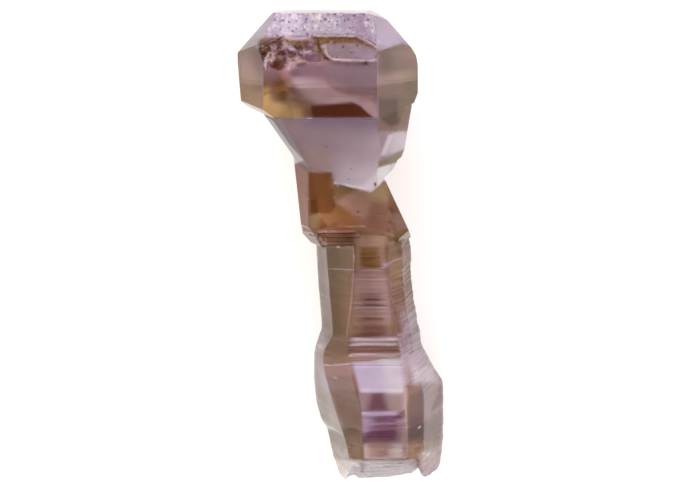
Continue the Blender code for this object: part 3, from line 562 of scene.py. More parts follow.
# Where the stem's left strip, its left panel and its middle panel end on the right.
STRIP_RIGHT = (
    (-1.5, 24.4), (-1.3, 20.8), (-1.0, 18.2), (-0.6, 14.6), (-1.7, 12.2), (-1.5, 10.6), (-0.7, 8.4),
    (-0.2, 6.6), (0.3, 5.0), (0.6, 3.4), (1.0, 1.9),
)
PANEL_RIGHT = (
    (1.5, 24.4), (1.4, 20.8), (1.1, 18.2), (0.8, 16.0), (0.7, 13.6), (1.1, 11.5), (1.5, 10.0), (1.9, 8.5),
    (2.1, 6.6), (2.2, 4.6), (2.4, 1.9),
)
MIDDLE_RIGHT = (
    (4.8, 24.4), (4.9, 20.8), (5.0, 18.2), (5.3, 16.6), (5.8, 14.6), (6.2, 13.3), (6.4, 11.5), (6.5, 8.6),
    (6.5, 4.6), (6.7, 1.9),
)
STEM = (
    box(-3.4, -0.8, 11.0, 24.0),
    ("rose brown", 1.0, 0.4, box(-3.2, -0.6, 10.9, 24.4)),
    # right panel
    ("tan", 0.75, 0.5, ((4.9, 24.4), (7.2, 24.4), (7.4, 17.6), (5.0, 17.6))),
    ("smoky", 0.9, 0.4, box(5.6, 22.1, 6.7, 23.5)),
    ("chestnut", 0.7, 0.3, box(6.4, 18.0, 7.6, 24.4)),
    ("gold", 0.4, 0.3, box(5.2, 20.1, 6.9, 20.9)),
    ("smoky", 0.6, 0.25, box(5.0, 19.75, 7.0, 20.05)),
    ("clay", 0.7, 0.5, box(4.7, 17.7, 6.6, 19.1)),
    ("tan", 0.6, 0.4, ((4.2, 21.0), (6.8, 22.2), (6.8, 21.6), (4.2, 20.4))),
    ("rose", 0.9, 0.5, (
        (5.6, 17.2), (7.4, 18.2), (8.3, 14.0), (9.6, 10.4), (8.0, 9.6), (6.6, 11.0), (6.3, 14.0),
    )),
    ("pale lavender", 0.6, 0.8, (
        (6.2, 16.4), (7.6, 16.8), (9.4, 11.6), (9.6, 9.4), (7.2, 9.4), (6.6, 12.4),
    )),
    ("frost", 0.6, 0.7, ((7.2, 11.0), (9.0, 11.2), (10.2, 9.2), (7.4, 9.3))),
    ("mauve", 1.0, 0.7, ((8.0, 9.4), (10.6, 9.4), (10.8, 4.2), (8.0, 3.6))),
    ("clay", 0.4, 0.9, ((8.8, 8.8), (10.6, 9.4), (10.6, 5.0), (9.0, 5.2))),
    ("brick", 0.5, 0.6, ((6.9, 8.4), (8.4, 8.8), (8.4, 3.4), (6.9, 3.4))),
    ("wine", 0.4, 0.6, ((6.9, 8.0), (8.2, 8.4), (8.2, 5.6), (6.9, 5.6))),
    ("wine", 0.55, 0.5, box(7.9, 3.8, 8.45, 8.6)),
    ("wine", 0.95, 0.9, box(6.8, 3.7, 8.6, 6.2)),
    ("tan", 0.8, 0.9, ((6.8, 3.3), (10.8, 4.0), (10.8, 1.0), (6.8, 1.0))),
    ("lilac grey", 0.8, 0.4, ((5.6, 14.4), (6.5, 14.4), (7.0, 9.3), (6.2, 9.3))),
    ("pale rose", 0.85, 0.2, ((6.25, 9.3), (6.7, 9.3), (6.75, 2.0), (6.35, 2.0))),
    # left strip
    ("beige", 1.0, 0.2, ((-3.2, 24.4),) + STRIP_RIGHT + ((-3.2, 1.9),)),
    ("rose", 0.5, 0.6, ((-1.8, 20.6), (-1.2, 20.6), (-0.5, 14.8), (-1.1, 14.8))),
    ("frost", 0.9, 0.7, ((-2.0, 14.8), (-0.7, 14.6), (-1.7, 12.4), (-2.9, 12.8))),
    ("rose", 0.7, 0.8, box(-3.0, 8.8, -1.5, 12.4)),
    ("lavender", 0.8, 0.5, ((-2.0, 10.6), (-1.5, 10.6), (-0.8, 8.6), (-1.5, 8.4))),
    ("grey tan", 0.6, 0.8, box(-3.0, 5.0, -0.6, 8.4)),
    # left panel
    ("olive brown", 1.0, 0.2, PANEL_RIGHT + STRIP_RIGHT[::-1]),
    ("dark smoky", 0.7, 1.2, box(-0.8, 20.4, 1.4, 24.0)),
    ("chestnut", 0.4, 1.0, box(0.0, 18.6, 1.2, 20.2)),
    ("smoky", 0.8, 1.2, ((-1.0, 18.6), (1.2, 18.6), (0.9, 11.6), (-1.8, 11.6))),
    ("tan", 0.35, 0.8, ((-1.2, 14.6), (0.8, 14.6), (1.0, 11.6), (-1.8, 11.6))),
    ("rose brown", 1.0, 0.6, ((-1.8, 11.3), (1.2, 11.5), (1.8, 8.8), (-0.9, 8.4))),
    ("rose", 0.5, 0.7, ((-1.6, 11.3), (1.2, 11.5), (1.4, 10.2), (-1.4, 10.4))),
    ("brick", 0.9, 0.9, ((-1.0, 8.8), (1.9, 8.8), (2.2, 4.2), (0.8, 4.0), (-0.2, 6.4))),
    ("chestnut", 0.4, 0.9, ((-0.4, 7.6), (1.2, 7.4), (1.8, 5.0), (0.8, 5.0))),
    ("tan", 0.45, 0.8, ((0.4, 4.4), (2.3, 4.4), (2.5, 1.9), (0.8, 1.9))),
)
# The violet window low in the middle panel.
WINDOW = ((1.2, 11.5), (6.5, 11.7), (6.5, 8.5), (2.0, 8.5))
MIDDLE = (
    MIDDLE_RIGHT + PANEL_RIGHT[::-1],
    ("rose brown", 1.0, 0.2, MIDDLE_RIGHT + PANEL_RIGHT[::-1]),
    ("smoky", 0.9, 0.7, box(1.9, 21.1, 4.1, 23.2)),
    ("dark smoky", 0.4, 0.9, box(2.1, 21.1, 3.9, 22.7)),
    ("tan", 0.55, 0.25, box(1.5, 20.9, 2.0, 23.4)),
    ("tan", 0.5, 0.3, ((3.9, 23.2), (4.3, 23.2), (4.6, 21.0), (4.2, 21.0))),
    ("smoky", 0.6, 0.5, box(4.5, 21.4, 5.2, 23.8)),
    ("lavender", 0.5, 0.4, box(4.3, 21.0, 5.1, 21.6)),
    ("rose", 0.8, 0.8, box(1.4, 15.4, 5.2, 20.4)),
    ("tan", 0.5, 0.8, ((0.8, 18.4), (2.4, 18.4), (2.4, 13.9), (0.7, 13.9))),
    ("olive", 0.5, 0.5, box(4.7, 14.6, 5.8, 15.7)),
    ("brick", 0.4, 1.1, box(2.2, 17.0, 4.1, 18.6)),
    # the violet window and what lies under it
    ("lavender", 1.0, 0.3, WINDOW),
    ("pale lavender", 0.6, 0.5, WINDOW),
    ("frost", 0.7, 1.4, ((4.2, 12.0), (7.0, 12.0), (7.0, 8.2), (4.8, 8.2))),
    ("mauve", 1.0, 0.4, box(1.9, 6.6, 6.5, 8.3)),
    ("wine", 0.95, 1.0, ((3.2, 8.6), (4.4, 8.6), (4.9, 6.6), (2.7, 6.6))),
    ("beige", 0.6, 0.8, box(4.9, 6.9, 6.4, 8.4)),
    ("purple", 1.0, 0.5, box(2.2, 3.3, 6.5, 6.3)),
    ("lavender", 0.6, 1.1, ((1.9, 6.2), (3.6, 6.2), (2.6, 4.4), (2.0, 3.8))),
    ("wine", 0.35, 1.0, box(3.8, 3.6, 5.6, 5.4)),
    ("pale rose", 0.5, 0.7, box(5.7, 3.4, 6.4, 5.6)),
    ("pale rose", 1.0, 1.0, box(2.1, 1.4, 6.9, 3.3)),
    ("ivory", 0.45, 0.4, box(2.1, 1.4, 2.8, 3.3)),
    ("rosy tan", 0.6, 1.0, box(3.0, 2.0, 4.6, 3.6)),
    ("ivory", 0.55, 1.0, box(5.2, 1.6, 6.9, 3.4)),
    ("lilac grey", 0.8, 0.4, ((5.7, 14.4), (6.5, 14.4), (7.0, 9.3), (6.2, 9.3))),
    ("pale rose", 0.85, 0.2, ((6.25, 9.3), (6.7, 9.3), (6.75, 2.0), (6.35, 2.0))),
)
# Bands across the stem's middle panel: colour, cover, height, half thickness, and where they start and end.
BANDS = (
    ("dark smoky", 0.8, 21.9, 0.16, 2.2, 4.0),
    ("dark smoky", 0.9, 21.2, 0.2, 2.2, 4.2),
    ("rose", 0.8, 20.75, 0.12, 1.5, 4.4),
    ("smoky", 0.5, 20.0, 0.1, 1.8, 4.8),
    ("tan", 0.6, 18.5, 0.14, 1.2, 4.4),
    ("wine", 0.5, 18.35, 0.08, 2.0, 4.2),
    ("wine", 0.9, 17.85, 0.14, 2.0, 4.4),
    ("wine", 0.85, 17.25, 0.11, 2.1, 4.7),
    ("ivory", 0.4, 17.45, 0.07, 1.4, 2.4),
    ("ivory", 0.4, 17.0, 0.06, 1.4, 5.2),
    ("rust", 0.7, 15.8, 0.22, 1.4, 4.6),
    ("brick", 0.8, 15.9, 0.12, 2.0, 4.4),
    ("brick", 0.85, 14.3, 0.2, 1.2, 4.3),
    ("rose brown", 0.6, 14.35, 0.18, 4.0, 5.8),
    ("lavender", 0.6, 14.1, 0.08, 3.2, 6.0),
    ("pink white", 0.8, 13.84, 0.17, 0.8, 6.0),
    ("pale rose", 0.8, 13.58, 0.09, 1.0, 5.9),
    ("pink white", 0.85, 13.34, 0.14, 0.8, 6.0),
    ("rose brown", 0.95, 12.6, 0.26, 1.3, 5.8),
    ("pink white", 0.6, 12.24, 0.15, 1.0, 6.2),
    ("tan", 0.6, 11.95, 0.13, 0.8, 4.6),
    ("frost", 0.4, 11.7, 0.08, 3.6, 6.4),
    ("frost", 0.5, 8.75, 0.2, 2.0, 6.5),
    ("frost", 0.4, 9.5, 0.08, 3.6, 6.5),
    ("lavender", 1.0, 6.4, 0.2, 2.1, 6.3),
    ("pale lavender", 0.6, 6.45, 0.12, 2.0, 3.6),
    ("wine", 0.7, 5.8, 0.16, 3.0, 5.6),
    ("lavender", 0.5, 5.35, 0.07, 3.0, 6.3),
    ("white", 1.0, 1.78, 0.14, 1.6, 7.4),
)
FOOT = (
    box(-3.4, -0.8, 11.0, 5.6),
    ("white", 1.0, 0.5, ((-1.4, 1.8), (2.0, 1.6), (7.4, 1.7), (8.2, 0.8), (8.4, -0.4), (-1.0, -0.4))),
    ("ivory", 0.6, 1.4, ((-1.6, 2.6), (0.6, 2.4), (1.0, -0.4), (-1.0, -0.4))),
    ("frost", 0.7, 1.0, ((8.0, 2.2), (10.8, 3.0), (10.8, -0.4), (8.0, -0.4))),
    ("tan", 0.55, 0.12, box(1.6, 1.36, 6.4, 1.44)),
    ("olive gold", 0.45, 0.14, box(2.2, 0.95, 6.0, 1.06)),
    ("tan", 0.45, 0.14, box(2.8, 0.5, 6.8, 0.6)),
    ("olive", 0.6, 0.3, box(2.0, 0.3, 2.5, 1.5)),
    ("rose", 0.5, 0.5, ((6.4, 1.6), (7.6, 1.8), (8.4, 0.6), (8.0, -0.2), (7.4, 0.8))),
    # a thin white wedge on the left above the foot: painted glint
    ("white", 1.0, 0.12, ((-1.7, 5.3), (-0.1, 4.45), (0.2, 4.3), (-1.2, 4.8))),
)
# The faces in the order in which they are painted, and the width of a face's own soft edge.
PAINTED = (STEM, MIDDLE, NECK, FACETS, UNDERSIDE, RIGHT_FACETS, LEFT_SIDE, RIGHT_SIDE, TOP, FRONT, FOOT)
FACE_EDGE = 0.12

# Specks of iron oxide: where they are and their radius.
SPECKS = (
    (1.8, 26.6, 0.12), (4.9, 26.95, 0.12), (5.25, 26.75, 0.12), (5.0, 25.6, 0.11), (4.85, 24.75, 0.12),
    (1.1, 30.9, 0.06), (0.9, 29.8, 0.06), (2.9, 29.8, 0.06), (3.5, 29.3, 0.15), (-1.4, 33.1, 0.06),
    (-3.3, 28.2, 0.06), (-1.2, 16.9, 0.07), (9.1, 11.2, 0.13), (8.7, 11.9, 0.11), (7.7, 14.8, 0.09),
    (8.5, 9.8, 0.06), (10.3, 4.0, 0.08),
)
# Bright points where the skin catches the light: where they are and their radius.
GLINTS = (
    (8.0, 5.0, 0.09), (-0.5, 9.95, 0.08), (8.4, 2.4, 0.12), (8.8, 2.2, 0.14), (9.0, 2.35, 0.1),
    (-0.2, 23.1, 0.08),
)
# Fine lines along ledges, ridges and cracks: colour, cover, thickness and the points that each runs through.
# On the tip, the dark lines under the lips are painted shadows and the pink white lines on them painted
# highlights.
FINE_LINES = (
    # painted shadow under the shelf's lip
    ("umber", 0.75, 0.14, ((-2.8, 43.85), (1.5, 43.8), (3.2, 42.9))),
    # painted highlight on the shelf's raised lip
    ("pink white", 0.95, 0.13, ((-2.9, 43.95), (-2.65, 44.1), (-0.5, 44.1), (1.4, 44.05))),
    # painted shadow under the left of the shelf's lip
    ("dark smoky", 0.7, 0.12, ((-5.3, 43.55), (-4.4, 43.25), (-2.9, 43.35))),
    # painted highlight on the left of the shelf's raised lip
    ("pink white", 0.9, 0.14, ((-5.4, 43.95), (-4.8, 43.75), (-2.95, 43.75))),
    # painted shadow along the plate's left edge and under its lip
    ("umber", 0.8, 0.2, (
        (-2.2, 43.3), (-1.8, 42.4), (-1.3, 41.8), (-0.7, 41.35), (0.6, 41.25), (2.2, 41.2),
    )),
    # painted highlight on the plate's raised lip
    ("pink white", 0.9, 0.1, (
        (-1.45, 42.7), (-1.25, 42.1), (-0.7, 41.7), (0.4, 41.6), (1.8, 41.6), (3.6, 41.65),
    )),
    ("pink white", 0.75, 0.1, ((-7.4, 40.7), (-7.35, 41.7), (-7.0, 42.35), (-6.7, 42.3), (-6.6, 41.95))),
    ("peach", 0.7, 0.08, ((-5.2, 41.9), (-4.9, 41.3), (-5.1, 40.7))),
    ("peach", 0.6, 0.08, ((-4.2, 41.3), (-3.6, 41.6), (-3.1, 41.3))),
    ("frost", 0.7, 0.07, ((-1.7, 11.2), (-0.4, 11.25), (1.0, 11.4))),
    ("frost", 0.5, 0.06, ((-1.2, 20.9), (0.4, 20.85), (1.4, 20.8))),
    ("tan", 0.6, 0.08, ((-1.5, 13.7), (0.0, 14.0), (0.8, 14.3))),
    ("frost", 0.6, 0.08, ((4.1, 21.0), (5.4, 21.7), (6.7, 22.2))),
    ("wine", 0.6, 0.1, ((6.6, 14.0), (7.6, 14.6), (8.2, 14.7))),
    ("wine", 0.7, 0.1, ((7.0, 12.4), (7.6, 12.8), (8.6, 13.1))),
    ("wine", 0.5, 0.1, ((7.2, 10.5), (8.0, 11.0), (8.7, 11.4))),
    ("wine", 0.5, 0.1, ((6.3, 15.5), (6.9, 15.9), (7.6, 16.0))),
    ("wine", 0.5, 0.1, ((7.0, 13.4), (7.8, 13.9), (8.4, 14.0))),
    # the underside's bright lower edge: painted highlight
    ("white", 0.8, 0.12, ((-0.4, 29.45), (0.9, 29.2), (1.8, 28.95), (3.0, 28.6), (3.7, 29.2), (4.3, 29.9))),
    ("rose", 0.8, 0.1, ((-2.8, 24.5), (-0.4, 24.6), (1.6, 24.7))),
    ("rose", 0.6, 0.08, ((-2.4, 24.0), (0.0, 24.05), (1.5, 24.1))),
    ("rose", 0.6, 0.08, ((-1.9, 23.5), (0.0, 23.5), (1.5, 23.55))),
    ("rose", 0.5, 0.08, ((-1.4, 23.05), (0.4, 23.05), (1.4, 23.1))),
)

# Hollows, fragments and stains on the crumbly part of the tip, like the zones above; the pale fragments are
# painted bright as highlights.
RUBBLE = (
    ("umber", 0.9, 0.35, ((-8.3, 42.6), (-7.9, 42.9), (-7.5, 42.0), (-7.6, 41.2), (-7.8, 41.2))),
    ("umber", 0.95, 0.3, (
        (-6.6, 41.6), (-6.2, 41.9), (-5.5, 41.7), (-5.3, 40.9), (-5.9, 40.6), (-6.6, 40.9),
    )),
    ("umber", 0.85, 0.25, ((-6.2, 42.5), (-5.6, 42.6), (-5.3, 42.2), (-5.9, 42.05))),
    ("wine", 0.8, 0.2, ((-5.2, 42.2), (-4.6, 42.4), (-4.3, 42.0), (-4.9, 41.9))),
    ("wine", 0.7, 0.2, ((-3.4, 43.2), (-3.1, 43.2), (-3.0, 42.5), (-3.3, 42.4))),
    ("purple", 0.6, 0.4, ((-3.4, 42.2), (-2.2, 42.3), (-1.9, 41.4), (-3.0, 41.2))),
    # the pink white and pale lavender spots: pale fragments, painted bright as highlights
    ("pink white", 0.7, 0.2, ((-3.9, 42.45), (-2.9, 42.65), (-2.8, 42.4), (-3.8, 42.3))),
    ("pale lavender", 0.7, 0.25, ((-5.4, 43.0), (-4.8, 43.1), (-4.3, 42.6), (-4.9, 42.6))),
    ("pale lavender", 0.8, 0.2, ((-1.9, 43.1), (-1.4, 43.2), (-1.3, 42.8), (-1.8, 42.8))),
    ("rose", 0.7, 0.25, ((-5.0, 41.8), (-4.4, 41.9), (-4.5, 41.2), (-5.0, 41.1))),
    ("lavender", 0.6, 0.8, ((1.4, 42.6), (3.6, 42.4), (3.6, 41.7), (1.2, 41.8))),
    ("umber", 0.85, 0.2, ((2.3, 41.5), (2.8, 41.5), (2.9, 41.1), (2.3, 41.15))),
)
# Where the tip's lower left is crumbly, in the front view.
CRUMBLY = ((-8.0, 43.4), (-5.8, 43.6), (-3.0, 43.0), (-2.4, 41.8), (-4.0, 40.9), (-6.4, 40.6), (-7.7, 40.8))

# The skin's colour is painted to offset the room's light. What is seen of a zone's own colour: the skin
# mirrors some of the room over it, and the light that comes up through it from the floor is weaker in the
# crumbly foot and in the thick head. So faces that mirror more of the room are painted darker, and the foot
# and head are painted lighter.
QUARTZ_IOR = 1.544
MIRROR_TINT = (0.5, 0.3, 0.08)  # how much of the straight-on reflection is kept, in red, green and blue
ROOM_SIDES = 1.9  # how bright the room is all round
ROOM_TOP = 0.57  # how bright the room is overhead
THROUGH_STEM = 1.05  # how strong the light is that comes through the stem
FOOT_LOSS = 0.45  # how much weaker it is in the foot
HEAD_LOSS = 0.15  # how much weaker it is in the head
BACK_TINT = 0.4  # how much of a zone's colour the back of the crystal keeps; the rest is pale quartz
PALE_QUARTZ = linear("#ECE4E8")


def laid_over(colours, colour, share):
    """The colours with a colour of the palette laid over them: quartz colours and painted light alike."""
    share = share[:, None]
    return colours * (1.0 - share) + linear(QUARTZ_AND_PAINTED_LIGHT[colour]) * share


def banded(colours, across, up):
    """Lays the bands over the stem's middle panel."""
    for colour, cover, height, half, start, end in BANDS:
        bow = 0.03 * np.sin(1.3 * across + 5.0 * height)
        within = 1.0 - smooth(0.4 * half, 1.5 * half, np.abs(up - height - bow))
        ragged = across + 0.3 * np.sin(9.0 * up + 4.0 * height)
        ends = smooth(start - 0.4, start + 0.7, ragged) * (1.0 - smooth(end - 0.9, end + 0.3, ragged))
        colours = laid_over(colours, colour, cover * within * ends)
    return colours


def tip_colours(colours, points, normals, across, up):
    """Lays over the colours the rough tip's painted light and shade on each hillock, its painted sparkles,
    the dark mottling and the pale painted highlights of its crumbly part, its darker pits, and the painted
    highlights on its pale ridges.
    """
    u, v = on_tip(points)
    rough = rough_area(points, normals)
    _, tone = hillocks(u, v)
    # painted light and shade: each hillock is made lighter or darker for how it catches the light, most
    # where the face is broken
    colours = colours * (1.0 + rough * (0.25 + 0.6 * broken_area(u, v)) * (tone - 0.5))[:, None]
    # painted sparkles: white glints on the rough face, most high up towards its top edge
    sparkle = smooth(0.36, 0.5, noise_at(points, 0.24, seed=31)) * (0.12 + 0.75 * smooth(2.6, 3.4, v))
    colours = laid_over(colours, "white", rough * sparkle)
    mottle = noise_at(points, 0.5, seed=33) + 0.5 * noise_at(points, 0.22, seed=34)
    crumbly = inside(across, up, CRUMBLY, 0.6)
    colours = laid_over(colours, "umber", 0.85 * crumbly * smooth(0.15, 0.5, mottle))
    # the pale mottling on the crumbly part is painted highlight
    colours = laid_over(colours, "pale rose", 0.75 * crumbly * smooth(0.15, 0.5, -mottle))
    colours = laid_over(colours, "dark smoky", 0.8 * rough * smooth(0.1, 0.6, pitted(u, v)))
    # the lips of the two layers of growth are pale, and painted brighter in peach as painted highlights
    broken_up = 0.5 + 0.5 * smooth(-0.3, 0.4, noise_at(points, 0.5, seed=17))
    colours = laid_over(colours, "peach", rough * broken_up * ridge(u, v))
    return colours


def marked(colours, points, across, up, wobble):
    """Lays the rubble, the fine lines, the specks and the glints over the colours: among them painted
    shadows, painted highlights and painted glints.
    """
    for colour, cover, soft, outline in RUBBLE:
        share = cover * inside(across + 1.5 * wobble, up + wobble, outline, soft)
        colours = laid_over(colours, colour, share)
    shiver = 0.05 * noise_at(points, 0.3, seed=37)
    beaded = 0.75 + 0.35 * noise_at(points, 0.35, seed=39)
    for colour, cover, thickness, line in FINE_LINES:
        far, _ = distance_to_line(across + shiver, up + shiver, line)
        share = np.clip(cover * beaded, 0.0, 1.0) * (1.0 - smooth(0.3 * thickness, 1.5 * thickness, far))
        colours = laid_over(colours, colour, share)
    for colour, places in (("umber", SPECKS), ("white", GLINTS)):
        for at_across, at_up, radius in places:
            far = np.hypot(across - at_across, up - at_up)
            colours = laid_over(colours, colour, 1.0 - smooth(0.6 * radius, 1.5 * radius, far))
    return colours


def zone_colours(points, normals):
    """The colour at each place of the skin: the quartz's colour zones, with painted shade, painted
    highlights and painted reflections among them.
    """
    across = points[:, 0]
    up = points[:, 1] * math.cos(EYE_LEAN) - points[:, 2] * math.sin(EYE_LEAN)
    wobble = 0.1 * noise_at(points, 1.2, seed=21)
    colours = np.tile(linear(QUARTZ_AND_PAINTED_LIGHT["mauve"]), (len(points), 1))
    for face in PAINTED:
        face_outline, *zones = face
        painted = colours
        for colour, cover, soft, outline in zones:
            share = cover * inside(across + wobble, up + 0.5 * wobble, outline, soft)
            painted = laid_over(painted, colour, share)
        if face is MIDDLE:
            painted = banded(painted, across, up)
        share = inside(across, up, face_outline, FACE_EDGE)[:, None]
        colours = colours * (1.0 - share) + painted * share
    colours = tip_colours(colours, points, normals, across, up)
    return marked(colours, points, across, up, wobble)


def mirrored(seen):
    """How much of the room the skin mirrors where it is seen at an angle with that cosine, by Fresnel's
    formula. Faces that are seen straight on mirror the dimmer room overhead."""
    cosine = np.clip(seen, 0.0, 1.0)
    inner = np.sqrt(1.0 - (1.0 - cosine**2) / QUARTZ_IOR**2)
    one_way = ((cosine - QUARTZ_IOR * inner) / (cosine + QUARTZ_IOR * inner)) ** 2
    other_way = ((QUARTZ_IOR * cosine - inner) / (QUARTZ_IOR * cosine + inner)) ** 2
    straight_on = ((QUARTZ_IOR - 1.0) / (QUARTZ_IOR + 1.0)) ** 2
    # The tint of the mirroring takes away most of what is mirrored straight on.
    kept = (one_way + other_way) / 2.0 - (1.0 - sum(MIRROR_TINT) / 3.0) * straight_on
    return kept * (ROOM_SIDES + (ROOM_TOP - ROOM_SIDES) * smooth(0.9, 0.98, cosine))


def skin_colours(wanted, points, normals):
    """The skin's colours, painted to offset the room's light so that the zones look as wanted in it: faces
    that mirror much of the room are painted darker, and the foot and head, which less light comes through,
    are painted lighter. The back is paler.
    """
    seen = normals[:, 1] * math.sin(EYE_LEAN) + normals[:, 2] * math.cos(EYE_LEAN)
    shine = mirrored(seen)[:, None]
    y = points[:, 1]
    foot = FOOT_LOSS * (1.0 - smooth(0.0, 4.0, y))
    head = HEAD_LOSS * smooth(33.0, 39.0, y)
    through = (THROUGH_STEM - foot - head)[:, None]
    own = np.clip(np.maximum((wanted - shine) / through, 0.5 * wanted), 0.0, 1.0)
    keep = (BACK_TINT + (1.0 - BACK_TINT) * smooth(-0.3, 0.1, seen))[:, None]
    return own * keep + PALE_QUARTZ * (1.0 - keep)


def frost(points, normals):
    """How frosted the skin is, from 0 on a glossy face to 1 on an etched or broken one."""
    _, y, z = points.T
    underside = smooth(29.5, 30.5, y) * (1.0 - smooth(WAIST - 0.2, WAIST, y)) * smooth(-0.5, 0.5, z)
    foot = 1.0 - smooth(FOOT_TOP - 0.8, FOOT_TOP + 0.6, y)
    return np.clip(0.8 * underside + 0.6 * foot + 0.5 * rough_area(points, normals), 0.0, 1.0)


# ---- materials
def new_material(name):
    """A node material and its Principled BSDF."""
    made = bpy.data.materials.new(name)
    made.use_nodes = True
    return made, made.node_tree.nodes["Principled BSDF"]


def add(material, kind, inputs=(), **settings):
    """Adds a node, sets its properties and fills its inputs with values or with other nodes' sockets."""
    node = material.node_tree.nodes.new(kind)
    for name, value in settings.items():
        setattr(node, name, value)
    for key, value in dict(inputs).items():
        if isinstance(value, bpy.types.NodeSocket):
            material.node_tree.links.new(value, node.inputs[key])
        else:
            node.inputs[key].default_value = value
    return node


def mapped(material, value, low, high, to_low, to_high):
    """The value, with its range from low to high moved to the range from to_low to to_high."""
    ends = {"From Min": low, "From Max": high, "To Min": to_low, "To Max": to_high}
    return add(material, "ShaderNodeMapRange", {"Value": value, **ends}).outputs["Result"]


def multiplied(material, value, times, plus):
    """The value, multiplied, and with the last added."""
    sockets = {0: value, 1: times, 2: plus}
    return add(material, "ShaderNodeMath", sockets, operation="MULTIPLY_ADD").outputs["Value"]


VEIL_SIZE = 3.0 * MM
GRIT_SIZE = 0.25 * MM
LINE_SPACING = 0.3  # of the growth lines in the colour, in millimetres like the growth heights
CLEARNESS = 0.75  # how much of the light that isn't mirrored passes through
BODY_TINT = (0.72, 0.6, 0.66, 1.0)  # what the body of the crystal lets pass
BODY_DENSITY = 30.0  # how strongly it absorbs the rest, per metre


def amethyst_quartz():
    """Amethyst quartz, grown in water: a glossy clear crystal with smoky, amber and violet zones, and with
    painted shade, highlights and reflections in its colour. Its etched and broken faces are frosted, so
    light that passes through them is spread."""
    made, skin = new_material("amethyst_quartz")
    link = made.node_tree.links.new
    place = add(made, "ShaderNodeTexCoord").outputs["Object"]
    zone = add(made, "ShaderNodeAttribute", attribute_name="zone_colour").outputs["Color"]
    etched = add(made, "ShaderNodeAttribute", attribute_name="frost").outputs["Fac"]
    growth = add(made, "ShaderNodeAttribute", attribute_name="growth").outputs["Fac"]
    lined_here = add(made, "ShaderNodeAttribute", attribute_name="lined").outputs["Fac"]
    # veils inside and growth lines across the stem make the colour lighter and darker
    veils = add(made, "ShaderNodeTexNoise", {"Vector": place, "Scale": 1 / VEIL_SIZE, "Detail": 4.0})
    cloud = mapped(made, veils.outputs["Fac"], 0.3, 0.7, 0.86, 1.12)
    line_at = add(made, "ShaderNodeMath", {0: growth, 1: 1 / LINE_SPACING}, operation="MULTIPLY")
    lines = add(
        made,
        "ShaderNodeTexNoise",
        {"W": line_at.outputs["Value"], "Scale": 1.0, "Detail": 3.0, "Roughness": 0.6},
        noise_dimensions="1D",
    )
    swing = mapped(made, lines.outputs["Fac"], 0.3, 0.7, -0.22, 0.22)
    tone = multiplied(made, swing, lined_here, cloud)
    tinted = add(made, "ShaderNodeVectorMath", {0: zone, 1: tone}, operation="MULTIPLY")
    link(tinted.outputs["Vector"], skin.inputs["Base Color"])
    # etched and broken faces are rougher, and a fine grit makes the skin uneven
    grit = add(made, "ShaderNodeTexNoise", {"Vector": place, "Scale": 1 / GRIT_SIZE, "Detail": 3.0})
    rough = mapped(made, etched, 0.0, 1.0, 0.08, 0.5)
    link(multiplied(made, grit.outputs["Fac"], 0.1, rough), skin.inputs["Roughness"])
    line_depth = add(made, "ShaderNodeMath", {0: lines.outputs["Fac"], 1: lined_here}, operation="MULTIPLY")
    height = multiplied(made, line_depth.outputs["Value"], 2.0, grit.outputs["Fac"])
    relief = add(made, "ShaderNodeBump", {"Height": height, "Strength": 0.15, "Distance": 0.05 * MM})
    link(relief.outputs["Normal"], skin.inputs["Normal"])
    skin.inputs["Specular Tint"].default_value = (*MIRROR_TINT, 1.0)
    skin.inputs["Transmission Weight"].default_value = CLEARNESS
    skin.inputs["IOR"].default_value = QUARTZ_IOR
    tint = add(made, "ShaderNodeVolumeAbsorption", {"Color": BODY_TINT, "Density": BODY_DENSITY})
    link(tint.outputs["Volume"], made.node_tree.nodes["Material Output"].inputs["Volume"])
    return made


# ---- the crystal
def scepter():
    """The finished crystal, which takes the place of the plain solid."""
    points, faces = refined_skin(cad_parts[NODE])
    normals = normals_of(points, faces)
    relief = growth_lines(points, normals) + tip_relief(points, normals) + foot_relief(points)
    turned = np.array(TO_WORLD.to_3x3()).T
    placed = (points + normals * relief[:, None]) @ turned + np.array(TO_WORLD.translation)
    mesh = bpy.data.meshes.new("scepter_crystal")
    mesh.from_pydata(placed.tolist(), [], faces.tolist())
    colours = np.ones((len(points), 4), np.float32)
    colours[:, :3] = skin_colours(zone_colours(points, normals), points, normals)
    mesh.attributes.new("zone_colour", "FLOAT_COLOR", "POINT").data.foreach_set("color", colours.ravel())
    described = {
        "frost": frost(points, normals),
        "growth": growth_height(points),
        "lined": lined(points, normals),
    }
    for name, values in described.items():
        mesh.attributes.new(name, "FLOAT", "POINT").data.foreach_set("value", values.astype(np.float32))
    mesh.shade_smooth()
    mesh.set_sharp_from_angle(angle=SHARP_EDGE)
    mesh.materials.append(amethyst_quartz())
    made = bpy.data.objects.new("scepter_crystal", mesh)
    bpy.context.scene.collection.objects.link(made)
    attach(made, "root")
    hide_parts(NODE)


# ---- the studio
def studio_floor():
    """A floor of pale matt paper, at the height that the crystal lies on."""
    made, paper = new_material("matt_paper")
    paper.inputs["Base Color"].default_value = (*linear("#F7F3EC"), 1.0)
    paper.inputs["Roughness"].default_value = 0.9
    body = bmesh.new()
    bmesh.ops.create_grid(body, x_segments=1, y_segments=1, size=1.5)
    mesh = bpy.data.meshes.new("floor")
    body.to_mesh(mesh)
    body.free()
    mesh.materials.append(made)
    floor = bpy.data.objects.new("floor", mesh)
    bpy.context.scene.collection.objects.link(floor)


def soft_light(name, place, target, size, power, colour):
    """A square soft light that looks at the target."""
    data = bpy.data.lights.new(name, "AREA")
    data.size = size
    data.energy = power
    data.color = linear(colour)
    lamp = bpy.data.objects.new(name, data)
    lamp.location = place
    lamp.rotation_euler = (Vector(place) - Vector(target)).to_track_quat("Z", "Y").to_euler()
    bpy.context.scene.collection.objects.link(lamp)


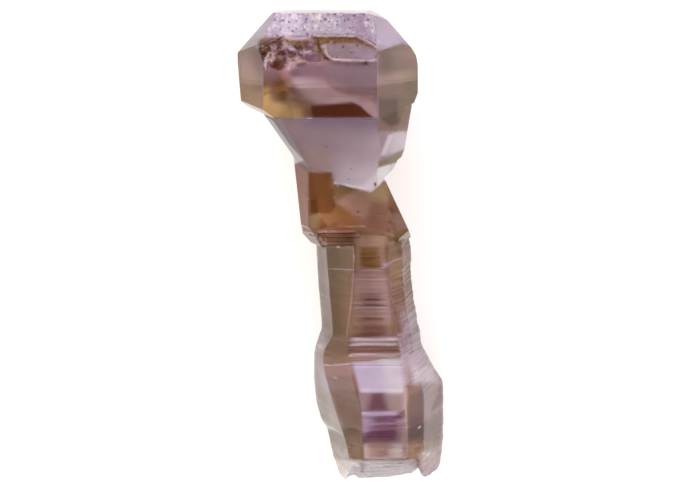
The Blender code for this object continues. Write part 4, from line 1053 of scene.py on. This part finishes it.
def lights():
    """A room that is bright all round and dimmer overhead, and two soft lights."""
    world = bpy.data.worlds.new("white_room")
    world.use_nodes = True
    nodes, link = world.node_tree.nodes, world.node_tree.links.new
    place = nodes.new("ShaderNodeTexCoord")
    split = nodes.new("ShaderNodeSeparateXYZ")
    link(place.outputs["Generated"], split.inputs["Vector"])
    fade = nodes.new("ShaderNodeMapRange")
    fade.interpolation_type = "SMOOTHSTEP"
    ends = {"From Min": 0.55, "From Max": 0.95, "To Min": ROOM_SIDES, "To Max": ROOM_TOP}
    for name, value in ends.items():
        fade.inputs[name].default_value = value
    link(split.outputs["Z"], fade.inputs["Value"])
    link(fade.outputs["Result"], nodes["Background"].inputs["Strength"])
    nodes["Background"].inputs["Color"].default_value = (*linear("#FBFBFF"), 1.0)
    bpy.context.scene.world = world
    middle = (0.0, 0.0, 0.005)
    soft_light("key_light", (-0.25, 0.3, 0.25), middle, 0.2, 1.15, "#FFFFFF")
    soft_light("side_light", (0.35, -0.1, 0.2), middle, 0.2, 0.95, "#F6F4FF")


CAMERA_LENS = 600.0  # a long lens, so that the view is nearly parallel
CAMERA_SENSOR = 36.0
VIEW_WIDTH = 70.0  # millimetres across the picture at the crystal
VIEW_CENTRE = Vector((1.0, 25.0, 2.0))  # what is in the middle of the picture


def camera():
    """The camera looks down on the crystal, from a little towards its tip."""
    data = bpy.data.cameras.new("camera")
    data.lens = CAMERA_LENS
    data.sensor_width = CAMERA_SENSOR
    data.clip_start = 0.1
    data.clip_end = 10.0
    made = bpy.data.objects.new("camera", data)
    turn = Matrix.Rotation(BED_TILT - EYE_LEAN, 4, "X")
    back = turn @ Vector((0.0, 0.0, VIEW_WIDTH * MM * CAMERA_LENS / CAMERA_SENSOR))
    made.matrix_world = Matrix.Translation(TO_WORLD @ VIEW_CENTRE + back) @ turn
    bpy.context.scene.collection.objects.link(made)
    bpy.context.scene.camera = made


scepter()
studio_floor()
lights()
camera()
bpy.context.scene.view_settings.view_transform = "Standard"
